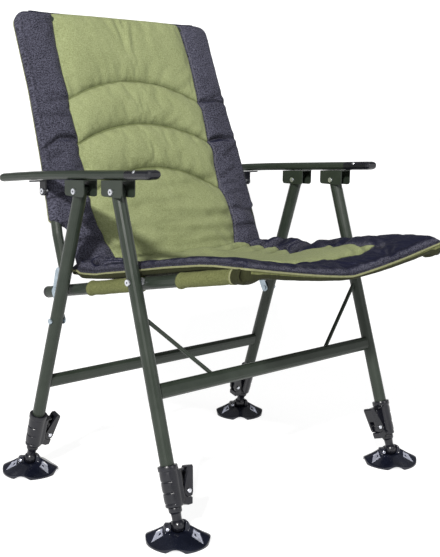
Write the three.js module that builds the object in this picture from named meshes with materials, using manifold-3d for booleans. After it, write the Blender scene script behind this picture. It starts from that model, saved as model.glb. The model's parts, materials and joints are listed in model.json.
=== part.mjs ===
// Folding carp-fishing armchair, built as separate solids. Millimetres, +Z up,
// the chair faces -Y, +X is the sitter's left.
import * as THREE from "three";
import { mergeVertices } from "three/addons/utils/BufferGeometryUtils.js";
import Module from "manifold-3d";

const wasm = await Module();
wasm.setup();

// ---------------------------------------------------------------- dimensions
const Y_SHIFT = 10.037; // puts the origin under the middle of the whole chair
const GAP = 0.35; // air left between touching pieces

const LEG_R = 12; // leg tube, outside
const LEG_BORE = 10.4;
const LEG_TOP_X = 283.6; // leg centre line at the armrest pivots
const LEG_SPLAY = 5.2 / 516.6; // sideways splay per mm of height
const ARM_PIVOT_F = [-51.5, 565.5]; // y, z of the front leg's pivot
const ARM_PIVOT_R = [54, 559.5]; // y, z of the rear leg's pivot
const FRONT_SLOPE = 0.3095; // front leg, y per mm of height
const REAR_SLOPE = -0.3081;
const BALL_Z = 27; // height of the foot ball's centre

const SEAT_PIVOT = [-97.2, 418]; // y, z of the seat tube's bolt in the front leg
const SEAT_X = 256.5;
const SEAT_R = 11;
const SEAT_AXIS_Z = 412.5; // seat tube's axis height at the seat pivot
const SEAT_SLOPE = -0.1926; // z per mm of y
const SEAT_Y0 = -318;
const SEAT_Y1 = 192;

const BACK_R = 10;
const BACK_X = 256.5;
const BACK_TOP_X = 236.5;
const BACK_TOP_Z = 872;
const BACK_PIVOT = [145, 402]; // y, z: backrest on the hinge plates
const ARM_PIVOT_B = [190.7, 549.5]; // y, z: backrest on the armrest
const HINGE_PIN = [155, 363.9]; // y, z: hinge plate's rivet in the seat tube
const LINK_PIN = [129.3, 315]; // y, z: link's bolt in the rear leg

const ARM_W = 30;
const ARM_T = 16;
const ARM_FRONT_Y = -148;
const ARM_REAR_Y = 301;
const ARM_CAP_Y = -84; // where the front end cover starts

const BAR_H = 27; // flat-oval crossbars
const BAR_T = 16;
const FRONT_BAR_Z = 238.5;
const REAR_BAR_Z = 190;
const BRACE_R = 3.8;

const CLAMP_R = 15.8;
const CLAMP_W0 = 31; // clamp's span along the leg, from the ball's centre
const CLAMP_W1 = 100;
const TUBE_W0 = 42; // where the leg tube ends inside the clamp
const INNER_R = 9.6; // telescopic inner leg
const INNER_TOP = 212;
const LEVER_U = 29; // lever pin: towards the chair's middle, along the leg
const LEVER_W = 51;
const FOOT_R = 53;

// ------------------------------------------------------------------- helpers
const V = (x, y, z) => new THREE.Vector3(x, y, z);

function solid(geometry) {
  const g = geometry.clone();
  g.deleteAttribute("normal");
  g.deleteAttribute("uv");
  const m = mergeVertices(g, 1e-4);
  const tri = new Uint32Array(m.index.array);
  const pos = new Float32Array(m.attributes.position.array);
  // keep only real triangles
  const keep = [];
  for (let i = 0; i < tri.length; i += 3)
    if (tri[i] !== tri[i + 1] && tri[i + 1] !== tri[i + 2] && tri[i] !== tri[i + 2])
      keep.push(tri[i], tri[i + 1], tri[i + 2]);
  const make = (t) =>
    new wasm.Manifold(
      new wasm.Mesh({ numProp: 3, vertProperties: pos, triVerts: new Uint32Array(t) }),
    );
  let s = make(keep);
  if (s.volume() < 0) {
    const flipped = [];
    for (let i = 0; i < keep.length; i += 3) flipped.push(keep[i], keep[i + 2], keep[i + 1]);
    s = make(flipped);
  }
  return s;
}

function geometryOf(s) {
  const m = s.getMesh();
  const n = m.numProp;
  const p = new Float32Array((m.vertProperties.length / n) * 3);
  for (let i = 0; i < p.length / 3; i++)
    p.set(m.vertProperties.subarray(i * n, i * n + 3), i * 3);
  const g = new THREE.BufferGeometry();
  g.setAttribute("position", new THREE.BufferAttribute(p, 3));
  g.setIndex(new THREE.BufferAttribute(new Uint32Array(m.triVerts), 1));
  const flat = g.toNonIndexed();
  flat.computeVertexNormals();
  return flat;
}

const union = (...list) => list.reduce((a, b) => a.add(b));

// Matrix whose columns are the given axes, with its origin at o.
function frame(o, u, v, w) {
  return new THREE.Matrix4().makeBasis(u, v, w).setPosition(o);
}

// Axes for something that runs along w, with v kept near the given hint.
function basisAlong(w, hint) {
  const u = new THREE.Vector3().crossVectors(hint, w).normalize();
  const v = new THREE.Vector3().crossVectors(w, u).normalize();
  return [u, v, w.clone()];
}

// Solid of revolution about the local +Z axis: profile is [radius, height] pairs.
function turned(profile, segments, matrix) {
  const g = new THREE.LatheGeometry(
    profile.map(([r, h]) => new THREE.Vector2(Math.max(r, 0), h)),
    segments,
  );
  g.applyMatrix4(new THREE.Matrix4().makeRotationX(Math.PI / 2));
  if (matrix) g.applyMatrix4(matrix);
  return solid(g);
}

// Round bar from a to b.
function rod(a, b, r, segments = 16, hint = V(0, 1, 0)) {
  const w = b.clone().sub(a);
  const length = w.length();
  w.normalize();
  const h = Math.abs(w.dot(hint)) > 0.95 ? V(1, 0, 0) : hint;
  const g = new THREE.CylinderGeometry(r, r, length, segments, 1);
  g.applyMatrix4(new THREE.Matrix4().makeRotationX(Math.PI / 2));
  g.applyMatrix4(new THREE.Matrix4().makeTranslation(0, 0, length / 2));
  g.applyMatrix4(frame(a, ...basisAlong(w, h)));
  return solid(g);
}

const crossPin = (y, z, x0, x1, r, segments = 12) =>
  rod(V(x0, y, z), V(x1, y, z), r, segments, V(0, 0, 1));

// Straight prism of a 2D outline: outline in (u, v), extruded from w0 to w1.
function prism(points, w0, w1, matrix) {
  const g = new THREE.ExtrudeGeometry(
    new THREE.Shape(points.map(([x, y]) => new THREE.Vector2(x, y))),
    { depth: w1 - w0, bevelEnabled: false, steps: 1 },
  );
  g.translate(0, 0, w0);
  if (matrix) g.applyMatrix4(matrix);
  return solid(g);
}

// Flat-oval outline: width along x, height along y.
function oval(width, height, n = 5) {
  const pts = [];
  if (width >= height) {
    const r = height / 2;
    for (let i = 0; i <= n; i++) {
      const a = -Math.PI / 2 + (Math.PI * i) / n;
      pts.push([width / 2 - r + r * Math.cos(a), r * Math.sin(a)]);
    }
    for (let i = 0; i <= n; i++) {
      const a = Math.PI / 2 + (Math.PI * i) / n;
      pts.push([-width / 2 + r + r * Math.cos(a), r * Math.sin(a)]);
    }
  } else for (const [x, y] of oval(height, width, n)) pts.push([-y, x]);
  return pts;
}

function circle(r, n, phase = 0) {
  return Array.from({ length: n }, (_, i) => {
    const a = phase + (2 * Math.PI * i) / n;
    return [r * Math.cos(a), r * Math.sin(a)];
  });
}

// Closed skin through a list of rings of points, with flat ends. A paired ring
// runs along its lower edge and back along its upper one.
function loft(rings, paired = false) {
  const n = rings[0].length;
  const pos = [];
  rings.forEach((ring) => ring.forEach((p) => pos.push(p.x, p.y, p.z)));
  const idx = [];
  for (let i = 0; i + 1 < rings.length; i++)
    for (let j = 0; j < n; j++) {
      const a = i * n + j;
      const b = i * n + ((j + 1) % n);
      idx.push(a, b, b + n, a, b + n, a + n);
    }
  [0, rings.length - 1].forEach((i, end) => {
    if (paired) {
      for (let j = 0; j < n / 2 - 1; j++) {
        const [a, b, c, d] = [j, j + 1, n - 2 - j, n - 1 - j].map((k) => i * n + k);
        if (end) idx.push(a, b, c, a, c, d);
        else idx.push(b, a, c, c, a, d);
      }
      return;
    }
    const c = pos.length / 3;
    const m = rings[i].reduce((s, p) => s.add(p), V(0, 0, 0)).multiplyScalar(1 / n);
    pos.push(m.x, m.y, m.z);
    for (let j = 0; j < n; j++) {
      const a = i * n + j;
      const b = i * n + ((j + 1) % n);
      if (end) idx.push(a, b, c);
      else idx.push(b, a, c);
    }
  });
  const g = new THREE.BufferGeometry();
  g.setAttribute("position", new THREE.Float32BufferAttribute(pos, 3));
  g.setIndex(idx);
  return solid(g);
}

// Section swept along a list of points, mitred at each; `up` fixes its turn.
function sweep(section, path, up) {
  const rings = path.map((p, i) => {
    const a = path[Math.max(i - 1, 0)];
    const b = path[Math.min(i + 1, path.length - 1)];
    const w = b.clone().sub(a).normalize();
    const v = up.clone().addScaledVector(w, -up.dot(w)).normalize();
    const u = new THREE.Vector3().crossVectors(v, w).normalize();
    return section.map(([x, y]) => p.clone().addScaledVector(u, x).addScaledVector(v, y));
  });
  return loft(rings);
}

const MATERIALS = {
  frame_paint: [0x4a5448, 0.42, 0.35],
  black_plastic: [0x17181a, 0.35, 0],
  foot_plastic: [0x14161b, 0.22, 0],
  zinc: [0x9fb0b8, 0.35, 0.9],
  rivet_steel: [0xb9bcc0, 0.3, 0.9],
  green_fabric: [0xa3ae6f, 0.9, 0],
  olive_fabric: [0x5d6a2b, 0.9, 0],
  dark_fabric: [0x3b3a45, 0.9, 0],
};
const group = new THREE.Group();
function add(name, s, look, parent = group) {
  const [color, roughness, metalness] = MATERIALS[look];
  const mesh = new THREE.Mesh(
    geometryOf(s),
    new THREE.MeshStandardMaterial({ color, roughness, metalness }),
  );
  mesh.name = name;
  parent.add(mesh);
}

// ------------------------------------------------------------ leg coordinates
// A leg is a frame: origin at the foot ball, w up the leg, u to the chair's
// middle, v = w x u.
function legFrame(side, front) {
  const [py, pz] = front ? ARM_PIVOT_F : ARM_PIVOT_R;
  const slope = front ? FRONT_SLOPE : REAR_SLOPE;
  const drop = pz - BALL_Z;
  const ball = V(side * (LEG_TOP_X + LEG_SPLAY * drop), py - slope * drop, BALL_Z);
  const top = V(side * LEG_TOP_X, py, pz);
  const w = top.clone().sub(ball);
  const length = w.length();
  w.normalize();
  const inward = V(-side, 0, 0);
  const u = inward.clone().addScaledVector(w, -inward.dot(w)).normalize();
  const v = new THREE.Vector3().crossVectors(w, u).normalize();
  return {
    side,
    front,
    ball,
    top,
    length,
    w,
    u,
    v,
    matrix: frame(ball, u, v, w),
    at: (a, b, c) => ball.clone().addScaledVector(u, a).addScaledVector(v, b).addScaledVector(w, c),
    atZ: (z) => ball.clone().addScaledVector(w, (z - BALL_Z) / w.z),
  };
}
const legs = {
  front_r: legFrame(-1, true),
  front_l: legFrame(1, true),
  rear_r: legFrame(-1, false),
  rear_l: legFrame(1, false),
};
const legCutter = (f, r) => rod(f.at(0, 0, 20), f.at(0, 0, f.length + 30), r, 24);

// -------------------------------------------------------- legs, clamps, feet
for (const [key, f] of Object.entries(legs)) {
  // outer tube: hollow from below, capped top with the pivot hole
  let tube = rod(f.at(0, 0, TUBE_W0), f.at(0, 0, f.length + 11), LEG_R, 20);
  tube = tube.subtract(rod(f.at(0, 0, TUBE_W0 - 1), f.at(0, 0, f.length - 40), LEG_BORE, 20));
  tube = tube.subtract(crossPin(f.top.y, f.top.z, f.top.x - 20, f.top.x + 20, 4.6));
  if (f.front) {
    tube = tube.subtract(
      crossPin(...SEAT_PIVOT, f.side * 260, f.side * 310, 4.2),
    );
  } else {
    tube = tube.subtract(crossPin(...LINK_PIN, f.side * 260, f.side * 310, 3.9));
  }
  add(`${key.split("_")[0]}_leg_${key.split("_")[1]}`, tube, "frame_paint");

  // clamp collar: ribbed sleeve round the tube's end, with ears for the lever
  const R = CLAMP_R;
  let clamp = turned(
    [
      [0, CLAMP_W0],
      [R - 1.8, CLAMP_W0],
      [R - 0.4, 34],
      [R, 91],
      [R + 1.4, 92],
      [R + 1.4, CLAMP_W1],
      [0, CLAMP_W1],
    ],
    20,
    f.matrix,
  );
  const ear = prism(
    [
      [10, 33],
      [26, 33],
      [32.5, 45],
      [33.4, 51],
      [32, 56],
      [25, 62],
      [24, 86],
      [10, 86],
    ],
    -4.8,
    4.8,
    frame(f.ball, f.u, f.w, f.v.clone().negate()),
  );
  const arc = Array.from({ length: 8 }, (_, i) => {
    const a = (-Math.PI / 180) * (74 + 14 * i);
    return [LEVER_U + 11 * Math.cos(a), LEVER_W + 11 * Math.sin(a)];
  });
  const heel = prism(
    [
      [11, 31.6],
      [19, 30.6],
      [24, 28],
      [31.6, 28.4],
      [33.8, 37.6],
      [33.9, 39.2],
      ...arc,
      [11, 47],
    ],
    -9.6,
    9.6,
    frame(f.ball, f.u, f.w, f.v.clone().negate()),
  );
  const cheeks = prism(
    [
      [0, 42],
      [9, 34.5],
      [15.4, 45],
      [15.4, 89.6],
      [0, 89.6],
    ],
    -13.6,
    13.6,
    frame(f.ball, f.u, f.w, f.v.clone().negate()),
  );
  const pin = rod(f.at(LEVER_U, -10.4, LEVER_W), f.at(LEVER_U, 10.4, LEVER_W), 2.5, 12);
  clamp = union(clamp, ear, heel, cheeks, pin)
    .subtract(rod(f.at(0, 0, TUBE_W0 - 1), f.at(0, 0, 120), LEG_R + 0.45, 20))
    .subtract(rod(f.at(0, 0, 10), f.at(0, 0, TUBE_W0), INNER_R + 0.5, 20));
  add(`clamp_${key}`, clamp, "black_plastic");

  // cam lever: a channel over the ears, hinged on the pin
  const plate = frame(f.ball, f.u, f.w, f.v.clone().negate());
  const foot = Array.from({ length: 7 }, (_, i) => {
    const a = -Math.PI * (1.02 - 0.17 * i) ;
    return [LEVER_U + 10.2 * Math.cos(a), LEVER_W + 10.2 * Math.sin(a)];
  }).filter(([x]) => x < LEVER_U + 8.6);
  let lever = prism(
    [
      ...foot,
      [36.8, 47],
      [46.4, 88],
      [45, 91.6],
      [38.4, 91.6],
      [35.6, 87],
      [19.4, 56],
    ],
    -9.4,
    9.4,
    plate,
  );
  lever = lever
    .subtract(
      prism(
        [
          [10, 36],
          [31, 36],
          [43.2, 88.6],
          [10, 88.6],
        ],
        -5.2,
        5.2,
        plate,
      ),
    )
    .subtract(
      // open at the back round the pin, so that it clears the ear when it swings out
      prism(
        [
          [30, 36],
          [45, 36],
          [45, LEVER_W + 13],
          [30, LEVER_W + 13],
        ],
        -5.2,
        5.2,
        plate,
      ),
    )
    .subtract(rod(f.at(LEVER_U, -15, LEVER_W), f.at(LEVER_U, 15, LEVER_W), 2.85, 12));
  add(`lever_${key}`, lever, "black_plastic");

  // telescopic inner leg with its neck and ball
  const profile = [];
  for (let i = 0; i <= 8; i++) {
    const a = -Math.PI / 2 + ((Math.PI / 2 + 1.06) * i) / 8;
    profile.push([12.2 * Math.cos(a), 12.2 * Math.sin(a)]);
  }
  profile[0][0] = 0;
  profile.push([7.6, 11.8], [8.2, 13.6], [8.6, 20], [11.2, 22.2], [11.2, 30], [INNER_R, 30.6]);
  profile.push([INNER_R, INNER_TOP], [0, INNER_TOP]);
  add(`inner_leg_${key}`, turned(profile, 20, f.matrix), "black_plastic");

  // mud foot: a ribbed shell with four pads on the ground, and a socket for the
  // ball that is open to one side. Each row gives radius and height of a point
  // of the profile: in the walled part of the socket, then in its open part,
  // first in the valley between the ribs and then on a rib.
  const rows = [
    [0, 13.4, 13.4, 0, 13.4, 13.4],
    [6.4, 15.1, 15.1, 6.4, 15.1, 15.1],
    [11, 19.8, 19.8, 10.2, 17.8, 17.8],
    [13, 27, 27, 12.6, 18.6, 18.6],
    [12.4, 31.2, 31.2, 13.6, 18.9, 18.9],
    [11.5, 33.2, 33.2, 14.6, 19, 19],
    [15.5, 34.4, 34.4, 16.2, 19, 19],
    [19, 31, 31, 19, 18.8, 18.8],
    [23, 19, 25, 23, 18, 18],
    [37, 11.2, 17.8, 37, 11.2, 14.5],
    [FOOT_R - 3, 5, 11.6, FOOT_R - 3, 5, 10.4],
    [FOOT_R, 3.4, 10, FOOT_R, 3.4, 9.5],
    [FOOT_R, 0, 6.2, FOOT_R, 0, 6.2],
    [FOOT_R - 5.5, 0, 6.2, FOOT_R - 5.5, 0, 6.2],
    [FOOT_R - 6, 2.6, 9, FOOT_R - 6, 2.6, 8.4],
    [36, 8.2, 14.6, 36, 8.2, 11.4],
    [24, 14.2, 20.6, 24, 14.2, 14.6],
    [15, 16, 16, 15, 14.8, 14.8],
    [8, 11, 11, 8, 11, 11],
    [0, 9.8, 9.8, 0, 9.8, 9.8],
  ];
  const lathe = new THREE.LatheGeometry(
    rows.map(([r, h]) => new THREE.Vector2(r, h)),
    32,
  );
  lathe.applyMatrix4(new THREE.Matrix4().makeRotationX(Math.PI / 2));
  const p = lathe.attributes.position;
  for (let i = 0; i < p.count; i++) {
    const row = rows[i % rows.length];
    const az = (Math.PI / 180) * (-90 + (360 * Math.floor(i / rows.length)) / 32);
    const rib = Math.max(0, Math.cos(4 * (az - Math.PI / 4))) ** 0.9;
    const open = THREE.MathUtils.smoothstep(-Math.cos(az - Math.PI / 4), 0.42, 0.74);
    const [r0, v0, t0, r1, v1, t1] = row;
    const r = r0 + (r1 - r0) * open;
    const valley = v0 + (v1 - v0) * open;
    const top = t0 + (t1 - t0) * open;
    p.setXYZ(i, r * Math.cos(az), r * Math.sin(az), valley + (top - valley) * rib);
  }
  lathe.translate(f.ball.x, f.ball.y, 0);
  add(`mud_foot_${key}`, solid(lathe), "foot_plastic");
}

// --------------------------------------------------- crossbars and brace rods
function crossbar(a, b, z) {
  const pa = a.atZ(z);
  const pb = b.atZ(z);
  const up = a.w.clone();
  up.x = 0;
  up.normalize();
  return sweep(oval(BAR_T, BAR_H), [pa, pb], up)
    .subtract(legCutter(a, LEG_R + 0.6))
    .subtract(legCutter(b, LEG_R + 0.6));
}
const frontBar = crossbar(legs.front_r, legs.front_l, FRONT_BAR_Z);
add("front_crossbar", frontBar, "frame_paint");
add("rear_crossbar", crossbar(legs.rear_r, legs.rear_l, REAR_BAR_Z), "frame_paint");
for (const [tag, f] of [
  ["r", legs.front_r],
  ["l", legs.front_l],
]) {
  const top = f.atZ(361).add(V(-f.side * 4, 0, 0));
  const foot = f.atZ(249.5);
  foot.x = f.side * 155;
  const bar = sweep(oval(BAR_T + 1, BAR_H + 1), [
    V(-400, legs.front_r.atZ(FRONT_BAR_Z).y, FRONT_BAR_Z),
    V(400, legs.front_r.atZ(FRONT_BAR_Z).y, FRONT_BAR_Z),
  ], V(0, f.w.y, f.w.z));
  add(
    `brace_rod_${tag}`,
    rod(top, foot, BRACE_R, 12).subtract(legCutter(f, LEG_R + 0.6)).subtract(bar),
    "frame_paint",
  );
}

// ------------------------------------------------------------------ armrests
// The armrest's centre line in side view.
function armZ(y) {
  if (y < 100) return 591.0 - 0.0585 * y;
  return 585.15 - 0.0585 * (y - 100) - 0.00012 * (y - 100) ** 2;
}
function armTube(x, y0, y1, n, width, thick, roundFront, roundRear) {
  // rings along y; a rounded end shrinks over its last few millimetres
  const stations = [];
  const tip = [0, 0.12, 0.4, 1];
  const size = (s) => 0.4 + 0.6 * Math.sqrt(1 - (1 - s) ** 2);
  if (roundFront) for (const s of tip) stations.push([y0 + 8 * s, size(s)]);
  else stations.push([y0, 1]);
  for (let i = 1; i < n; i++) stations.push([y0 + ((y1 - y0) * i) / n, 1]);
  if (roundRear) for (const s of [...tip].reverse()) stations.push([y1 - 8 * s, size(s)]);
  else stations.push([y1, 1]);
  return loft(
    stations.map(([y, k]) =>
      oval(width - thick + thick * k, thick * k).map(([u, v]) => V(x + u, y, armZ(y) + v)),
    ),
  );
}
for (const [tag, side] of [
  ["r", -1],
  ["l", 1],
]) {
  const x = side * LEG_TOP_X;
  const arm = armTube(x, ARM_CAP_Y, ARM_REAR_Y, 7, ARM_W, ARM_T, false, true);
  const bore = armTube(x, ARM_CAP_Y - 1, ARM_REAR_Y - 14, 7, ARM_W - 4, ARM_T - 4, false, false);
  add(`armrest_${tag}`, arm.subtract(bore), "frame_paint");

  // front end cover with a spigot in the tube
  const cover = armTube(x, ARM_FRONT_Y, ARM_CAP_Y - GAP, 4, ARM_W + 0.6, ARM_T + 0.6, true, false);
  const spigot = armTube(x, ARM_CAP_Y - 4, ARM_CAP_Y + 26, 2, ARM_W - 5, ARM_T - 5, false, false);
  add(`armrest_cover_${tag}`, union(cover, spigot), "black_plastic");

  // U brackets that hold the legs
  for (const [end, [py, pz]] of [
    ["front", ARM_PIVOT_F],
    ["rear", ARM_PIVOT_R],
  ]) {
    const zt = (y) => armZ(y) - ARM_T / 2 - GAP - 0.3;
    const out = [
      [py - 28, zt(py - 28)],
      [py - 28, pz - 4],
      [py - 26, pz - 7.5],
      [py - 22, pz - 8.6],
      [py + 22, pz - 8.6],
      [py + 26, pz - 7.5],
      [py + 28, pz - 4],
      [py + 28, zt(py + 28)],
    ];
    const side0 = frame(V(x, 0, 0), V(0, 1, 0), V(0, 0, 1), V(1, 0, 0));
    let bracket = prism(out, -14.6, 14.6, side0);
    bracket = bracket
      .subtract(
        prism(
          [
            [py - 40, pz - 20],
            [py + 40, pz - 20],
            [py + 40, zt(py + 40) - 2],
            [py - 40, zt(py - 40) - 2],
          ],
          -12.6,
          12.6,
          side0,
        ),
      )
      .subtract(crossPin(py, pz, x - 20, x + 20, 4.3));
    add(`${end}_bracket_${tag}`, bracket, "frame_paint");
    // pivot rivet: shank with a head on each side
    const rivet = union(
      crossPin(py, pz, x - 17, x + 17, 3.95, 12),
      crossPin(py, pz, x + side * 15.0, x + side * 17.6, 5.4, 12),
      crossPin(py, pz, x - side * 15.0, x - side * 16.4, 5.0, 12),
    );
    add(`${end}_pivot_${tag}`, rivet, "rivet_steel");
  }

  // small rear bracket that carries the backrest tube
  const [by, bz] = ARM_PIVOT_B;
  const zb = (y) => armZ(y) - ARM_T / 2 - GAP - 0.3;
  const w0 = BACK_X + BACK_R + 2.2;
  const tab = prism(
    [
      [by - 9, zb(by - 9)],
      [by - 9, bz - 4],
      [by - 5, bz - 8],
      [by + 5, bz - 8],
      [by + 9, bz - 4],
      [by + 9, zb(by + 9)],
    ],
    w0,
    w0 + 3,
    frame(V(0, 0, 0), V(0, side, 0), V(0, 0, 1), V(side, 0, 0)).multiply(
      new THREE.Matrix4().makeScale(side, 1, 1),
    ),
  );
  const flange = prism(
    [
      [by - 9, zb(by - 9)],
      [by - 9, zb(by - 9) - 3],
      [by + 9, zb(by + 9) - 3],
      [by + 9, zb(by + 9)],
    ],
    w0 + 1,
    w0 + 26,
    frame(V(0, 0, 0), V(0, side, 0), V(0, 0, 1), V(side, 0, 0)).multiply(
      new THREE.Matrix4().makeScale(side, 1, 1),
    ),
  );
  add(
    `back_bracket_${tag}`,
    union(tab, flange).subtract(crossPin(by, bz, side * 240, side * 300, 3.9)),
    "black_plastic",
  );
  const stub = union(
    crossPin(by, bz, side * 241, side * (w0 + 4.5), 3.5, 12),
    crossPin(by, bz, side * (w0 + 3.3), side * (w0 + 5.6), 5.2, 12),
  );
  add(`back_pivot_${tag}`, stub, "rivet_steel");
}

// ---------------------------------------------------------------- seat frame
const seatZ = (y) => SEAT_AXIS_Z + SEAT_SLOPE * (y - SEAT_PIVOT[0]);
const seatAt = (side, y, dz = 0) => V(side * SEAT_X, y, seatZ(y) + dz);
const SLEEVES = [
  ["rear", -84, 60],
  ["front", -306, -182],
];
for (const [tag, side] of [
  ["r", -1],
  ["l", 1],
]) {
  let tube = rod(seatAt(side, SEAT_Y0), seatAt(side, SEAT_Y1), SEAT_R, 18);
  tube = tube
    .subtract(rod(seatAt(side, SEAT_Y0 - 2), seatAt(side, SEAT_Y1 + 2), SEAT_R - 1.8, 18))
    .subtract(crossPin(...SEAT_PIVOT, side * 230, side * 290, 4.2))
    .subtract(crossPin(...HINGE_PIN, side * 230, side * 290, 3.3));
  add(`seat_tube_${tag}`, tube, "frame_paint");
  // end plugs
  for (const [end, y, d] of [
    ["front", SEAT_Y0, -1],
    ["rear", SEAT_Y1, 1],
  ]) {
    const a = seatAt(side, y + d * GAP);
    const dir = V(0, d, d * SEAT_SLOPE).normalize();
    add(
      `seat_plug_${end}_${tag}`,
      union(
        rod(a, a.clone().addScaledVector(dir, 5), SEAT_R + 0.2, 18),
        rod(a.clone().addScaledVector(dir, -16), a.clone().addScaledVector(dir, 1), SEAT_R - 2.5, 14),
      ),
      "black_plastic",
    );
  }
  // fabric loops round the tube
  for (const [end, y0, y1] of SLEEVES) {
    const a = seatAt(side, y0);
    const b = seatAt(side, y1);
    const dir = b.clone().sub(a).normalize();
    let loop = rod(a, b, SEAT_R + 2.2, 18).subtract(
      rod(a.clone().addScaledVector(dir, -2), b.clone().addScaledVector(dir, 2), SEAT_R + 0.6, 18),
    );
    loop = loop.subtract(
      crossPin(...SEAT_PIVOT, side * 262, side * 290, 9),
    );
    add(`seat_loop_${end}_${tag}`, loop, "olive_fabric");
  }
  // seat pivot bolt through the front leg and the seat tube, with its washer
  const x0 = side * (SEAT_X - SEAT_R - 3);
  const xl = side * (LEG_TOP_X + LEG_SPLAY * (ARM_PIVOT_F[1] - SEAT_PIVOT[1]));
  add(
    `seat_bolt_${tag}`,
    union(
      crossPin(...SEAT_PIVOT, x0, xl + side * 15, 3.8, 12),
      crossPin(...SEAT_PIVOT, xl + side * 13.2, xl + side * 16.2, 5.6, 12),
      crossPin(...SEAT_PIVOT, side * (SEAT_X - SEAT_R - 3.6), side * (SEAT_X - SEAT_R - 1.2), 4.8, 12),
      crossPin(...SEAT_PIVOT, side * (SEAT_X + SEAT_R + 0.6), xl - side * 12.9, 6.4, 12),
    ),
    "rivet_steel",
  );
  // hinge plate: riveted to the seat tube, carries the backrest's pin
  const px0 = SEAT_X + SEAT_R + 0.4;
  const outline = (a, b, r) => {
    const t = Math.atan2(b[1] - a[1], b[0] - a[0]);
    const pts = [];
    for (let i = 0; i <= 6; i++) {
      const q = t - Math.PI / 2 + (Math.PI * i) / 6;
      pts.push([b[0] + r * Math.cos(q), b[1] + r * Math.sin(q)]);
    }
    for (let i = 0; i <= 6; i++) {
      const q = t + Math.PI / 2 + (Math.PI * i) / 6;
      pts.push([a[0] + r * Math.cos(q), a[1] + r * Math.sin(q)]);
    }
    return pts;
  };
  const yz = frame(V(0, 0, 0), V(0, 1, 0), V(0, 0, 1), V(1, 0, 0));
  const slab = (pts, xa, xb) => prism(pts, Math.min(side * xa, side * xb), Math.max(side * xa, side * xb), yz);
  add(
    `hinge_plate_${tag}`,
    union(
      slab(outline(HINGE_PIN, BACK_PIVOT, 9), px0, px0 + 2.2),
      crossPin(...HINGE_PIN, side * (SEAT_X - SEAT_R - 2.2), side * (px0 + 1), 2.9, 12),
      crossPin(...BACK_PIVOT, side * (BACK_X - BACK_R - 2.4), side * (px0 + 1), 3.3, 12),
    ),
    "zinc",
  );
  // link from the hinge rivet down to the rear leg
  const lx0 = px0 + 2.5;
  add(
    `rear_link_${tag}`,
    union(
      slab(outline(LINK_PIN, HINGE_PIN, 8), lx0, lx0 + 2.1),
      crossPin(...LINK_PIN, side * (lx0 + 1), side * 300.6, 3.45, 12),
      crossPin(...LINK_PIN, side * 298.8, side * 301.4, 5.2, 12),
      crossPin(...LINK_PIN, side * (lx0 - 2.2), side * (lx0 + 1), 4.8, 12),
      crossPin(...HINGE_PIN, side * (lx0 + 1), side * (lx0 + 2.9), 4.4, 12),
    ),
    "zinc",
  );
}

// ------------------------------------------------------------- seat cushion
// Cross-sections across X at each y; the cloth hangs in a shallow V at the
// front edge and lies nearly flat at the back.
const PAD_HALF = 263;
const PAD_FRONT = -346;
const PAD_REAR = 114;
const smooth = THREE.MathUtils.smoothstep;
// heights of the two skins above the tubes' axis, before the sag
const topSkin = (y) => 34 - 17 * smooth(-y, 260, 346);
const lowSkin = (y) => 15.2 - 22 * smooth(-y, 325.5, 332);
const sag = (x, y) =>
  (12 + 22 * smooth(-y, -90, 330)) * (1 - Math.min(1, Math.abs(x) / PAD_HALF) ** 1.3);
{
  const rings = [];
  for (const y of [PAD_FRONT, -342, -332, -325.5, -285, -230, -160, -70, 20, 80, 106, PAD_REAR]) {
    const end = Math.min(1, (y - PAD_FRONT) / 16, (PAD_REAR - y) / 10);
    const k = 0.3 + 0.7 * Math.sqrt(Math.max(0, 1 - (1 - end) ** 2));
    const middle = (topSkin(y) + lowSkin(y)) / 2;
    const half = ((topSkin(y) - lowSkin(y)) / 2) * k;
    const top = [];
    const low = [];
    const n = 10;
    for (let i = 0; i <= n; i++) {
      const x = -PAD_HALF + (2 * PAD_HALF * i) / n;
      const z = seatZ(y) + middle - sag(x, y);
      const round = i === 0 || i === n ? half * 0.45 : 0;
      top.push(V(x, y, z + half - round));
      low.push(V(x, y, z - half + round));
    }
    rings.push([...low, ...top.reverse()]);
  }
  add("seat_pad", loft(rings, true), "dark_fabric");
}

// ------------------------------------------------------------------ backrest
// Side view of the frame tube: straight past the pivots, then a little more
// recline above the armrest.
const BACK_LOW = 388;
const BACK_BEND = 600;
const backY = (z) =>
  z < BACK_BEND ? 143 + 0.33 * (z - 402) : 143 + 0.33 * (BACK_BEND - 402) + 0.39 * (z - BACK_BEND);
const backHalf = (z) => {
  // straight at the pivots, drawn in above them, then nearly upright
  if (z < 470) return BACK_X;
  if (z < 740) return BACK_X + (BACK_TOP_X + 0.5 - BACK_X) * ((z - 470) / 270) ** 0.85;
  return BACK_TOP_X + 0.5 * ((BACK_TOP_Z - z) / (BACK_TOP_Z - 740));
};
function backPath(step = 1) {
  const CORNER = 46;
  const pts = [];
  const leftUp = [];
  for (const z of [BACK_LOW, 470, 520, 590, 610, 670, 740, BACK_TOP_Z - CORNER * 0.94]) leftUp.push(V(backHalf(z), backY(z), z));
  const zt = BACK_TOP_Z;
  const zc = BACK_TOP_Z - CORNER * 0.94;
  const xs = backHalf(zc);
  for (let i = 1; i <= 6; i++) {
    const a = (Math.PI / 2) * (i / 6);
    const z = zc + CORNER * 0.94 * Math.sin(a);
    const x = xs - CORNER * (1 - Math.cos(a));
    leftUp.push(V(x, backY(z), z));
  }
  pts.push(...leftUp, ...leftUp.slice().reverse().map((p) => V(-p.x, p.y, p.z)));
  return pts;
}
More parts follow.
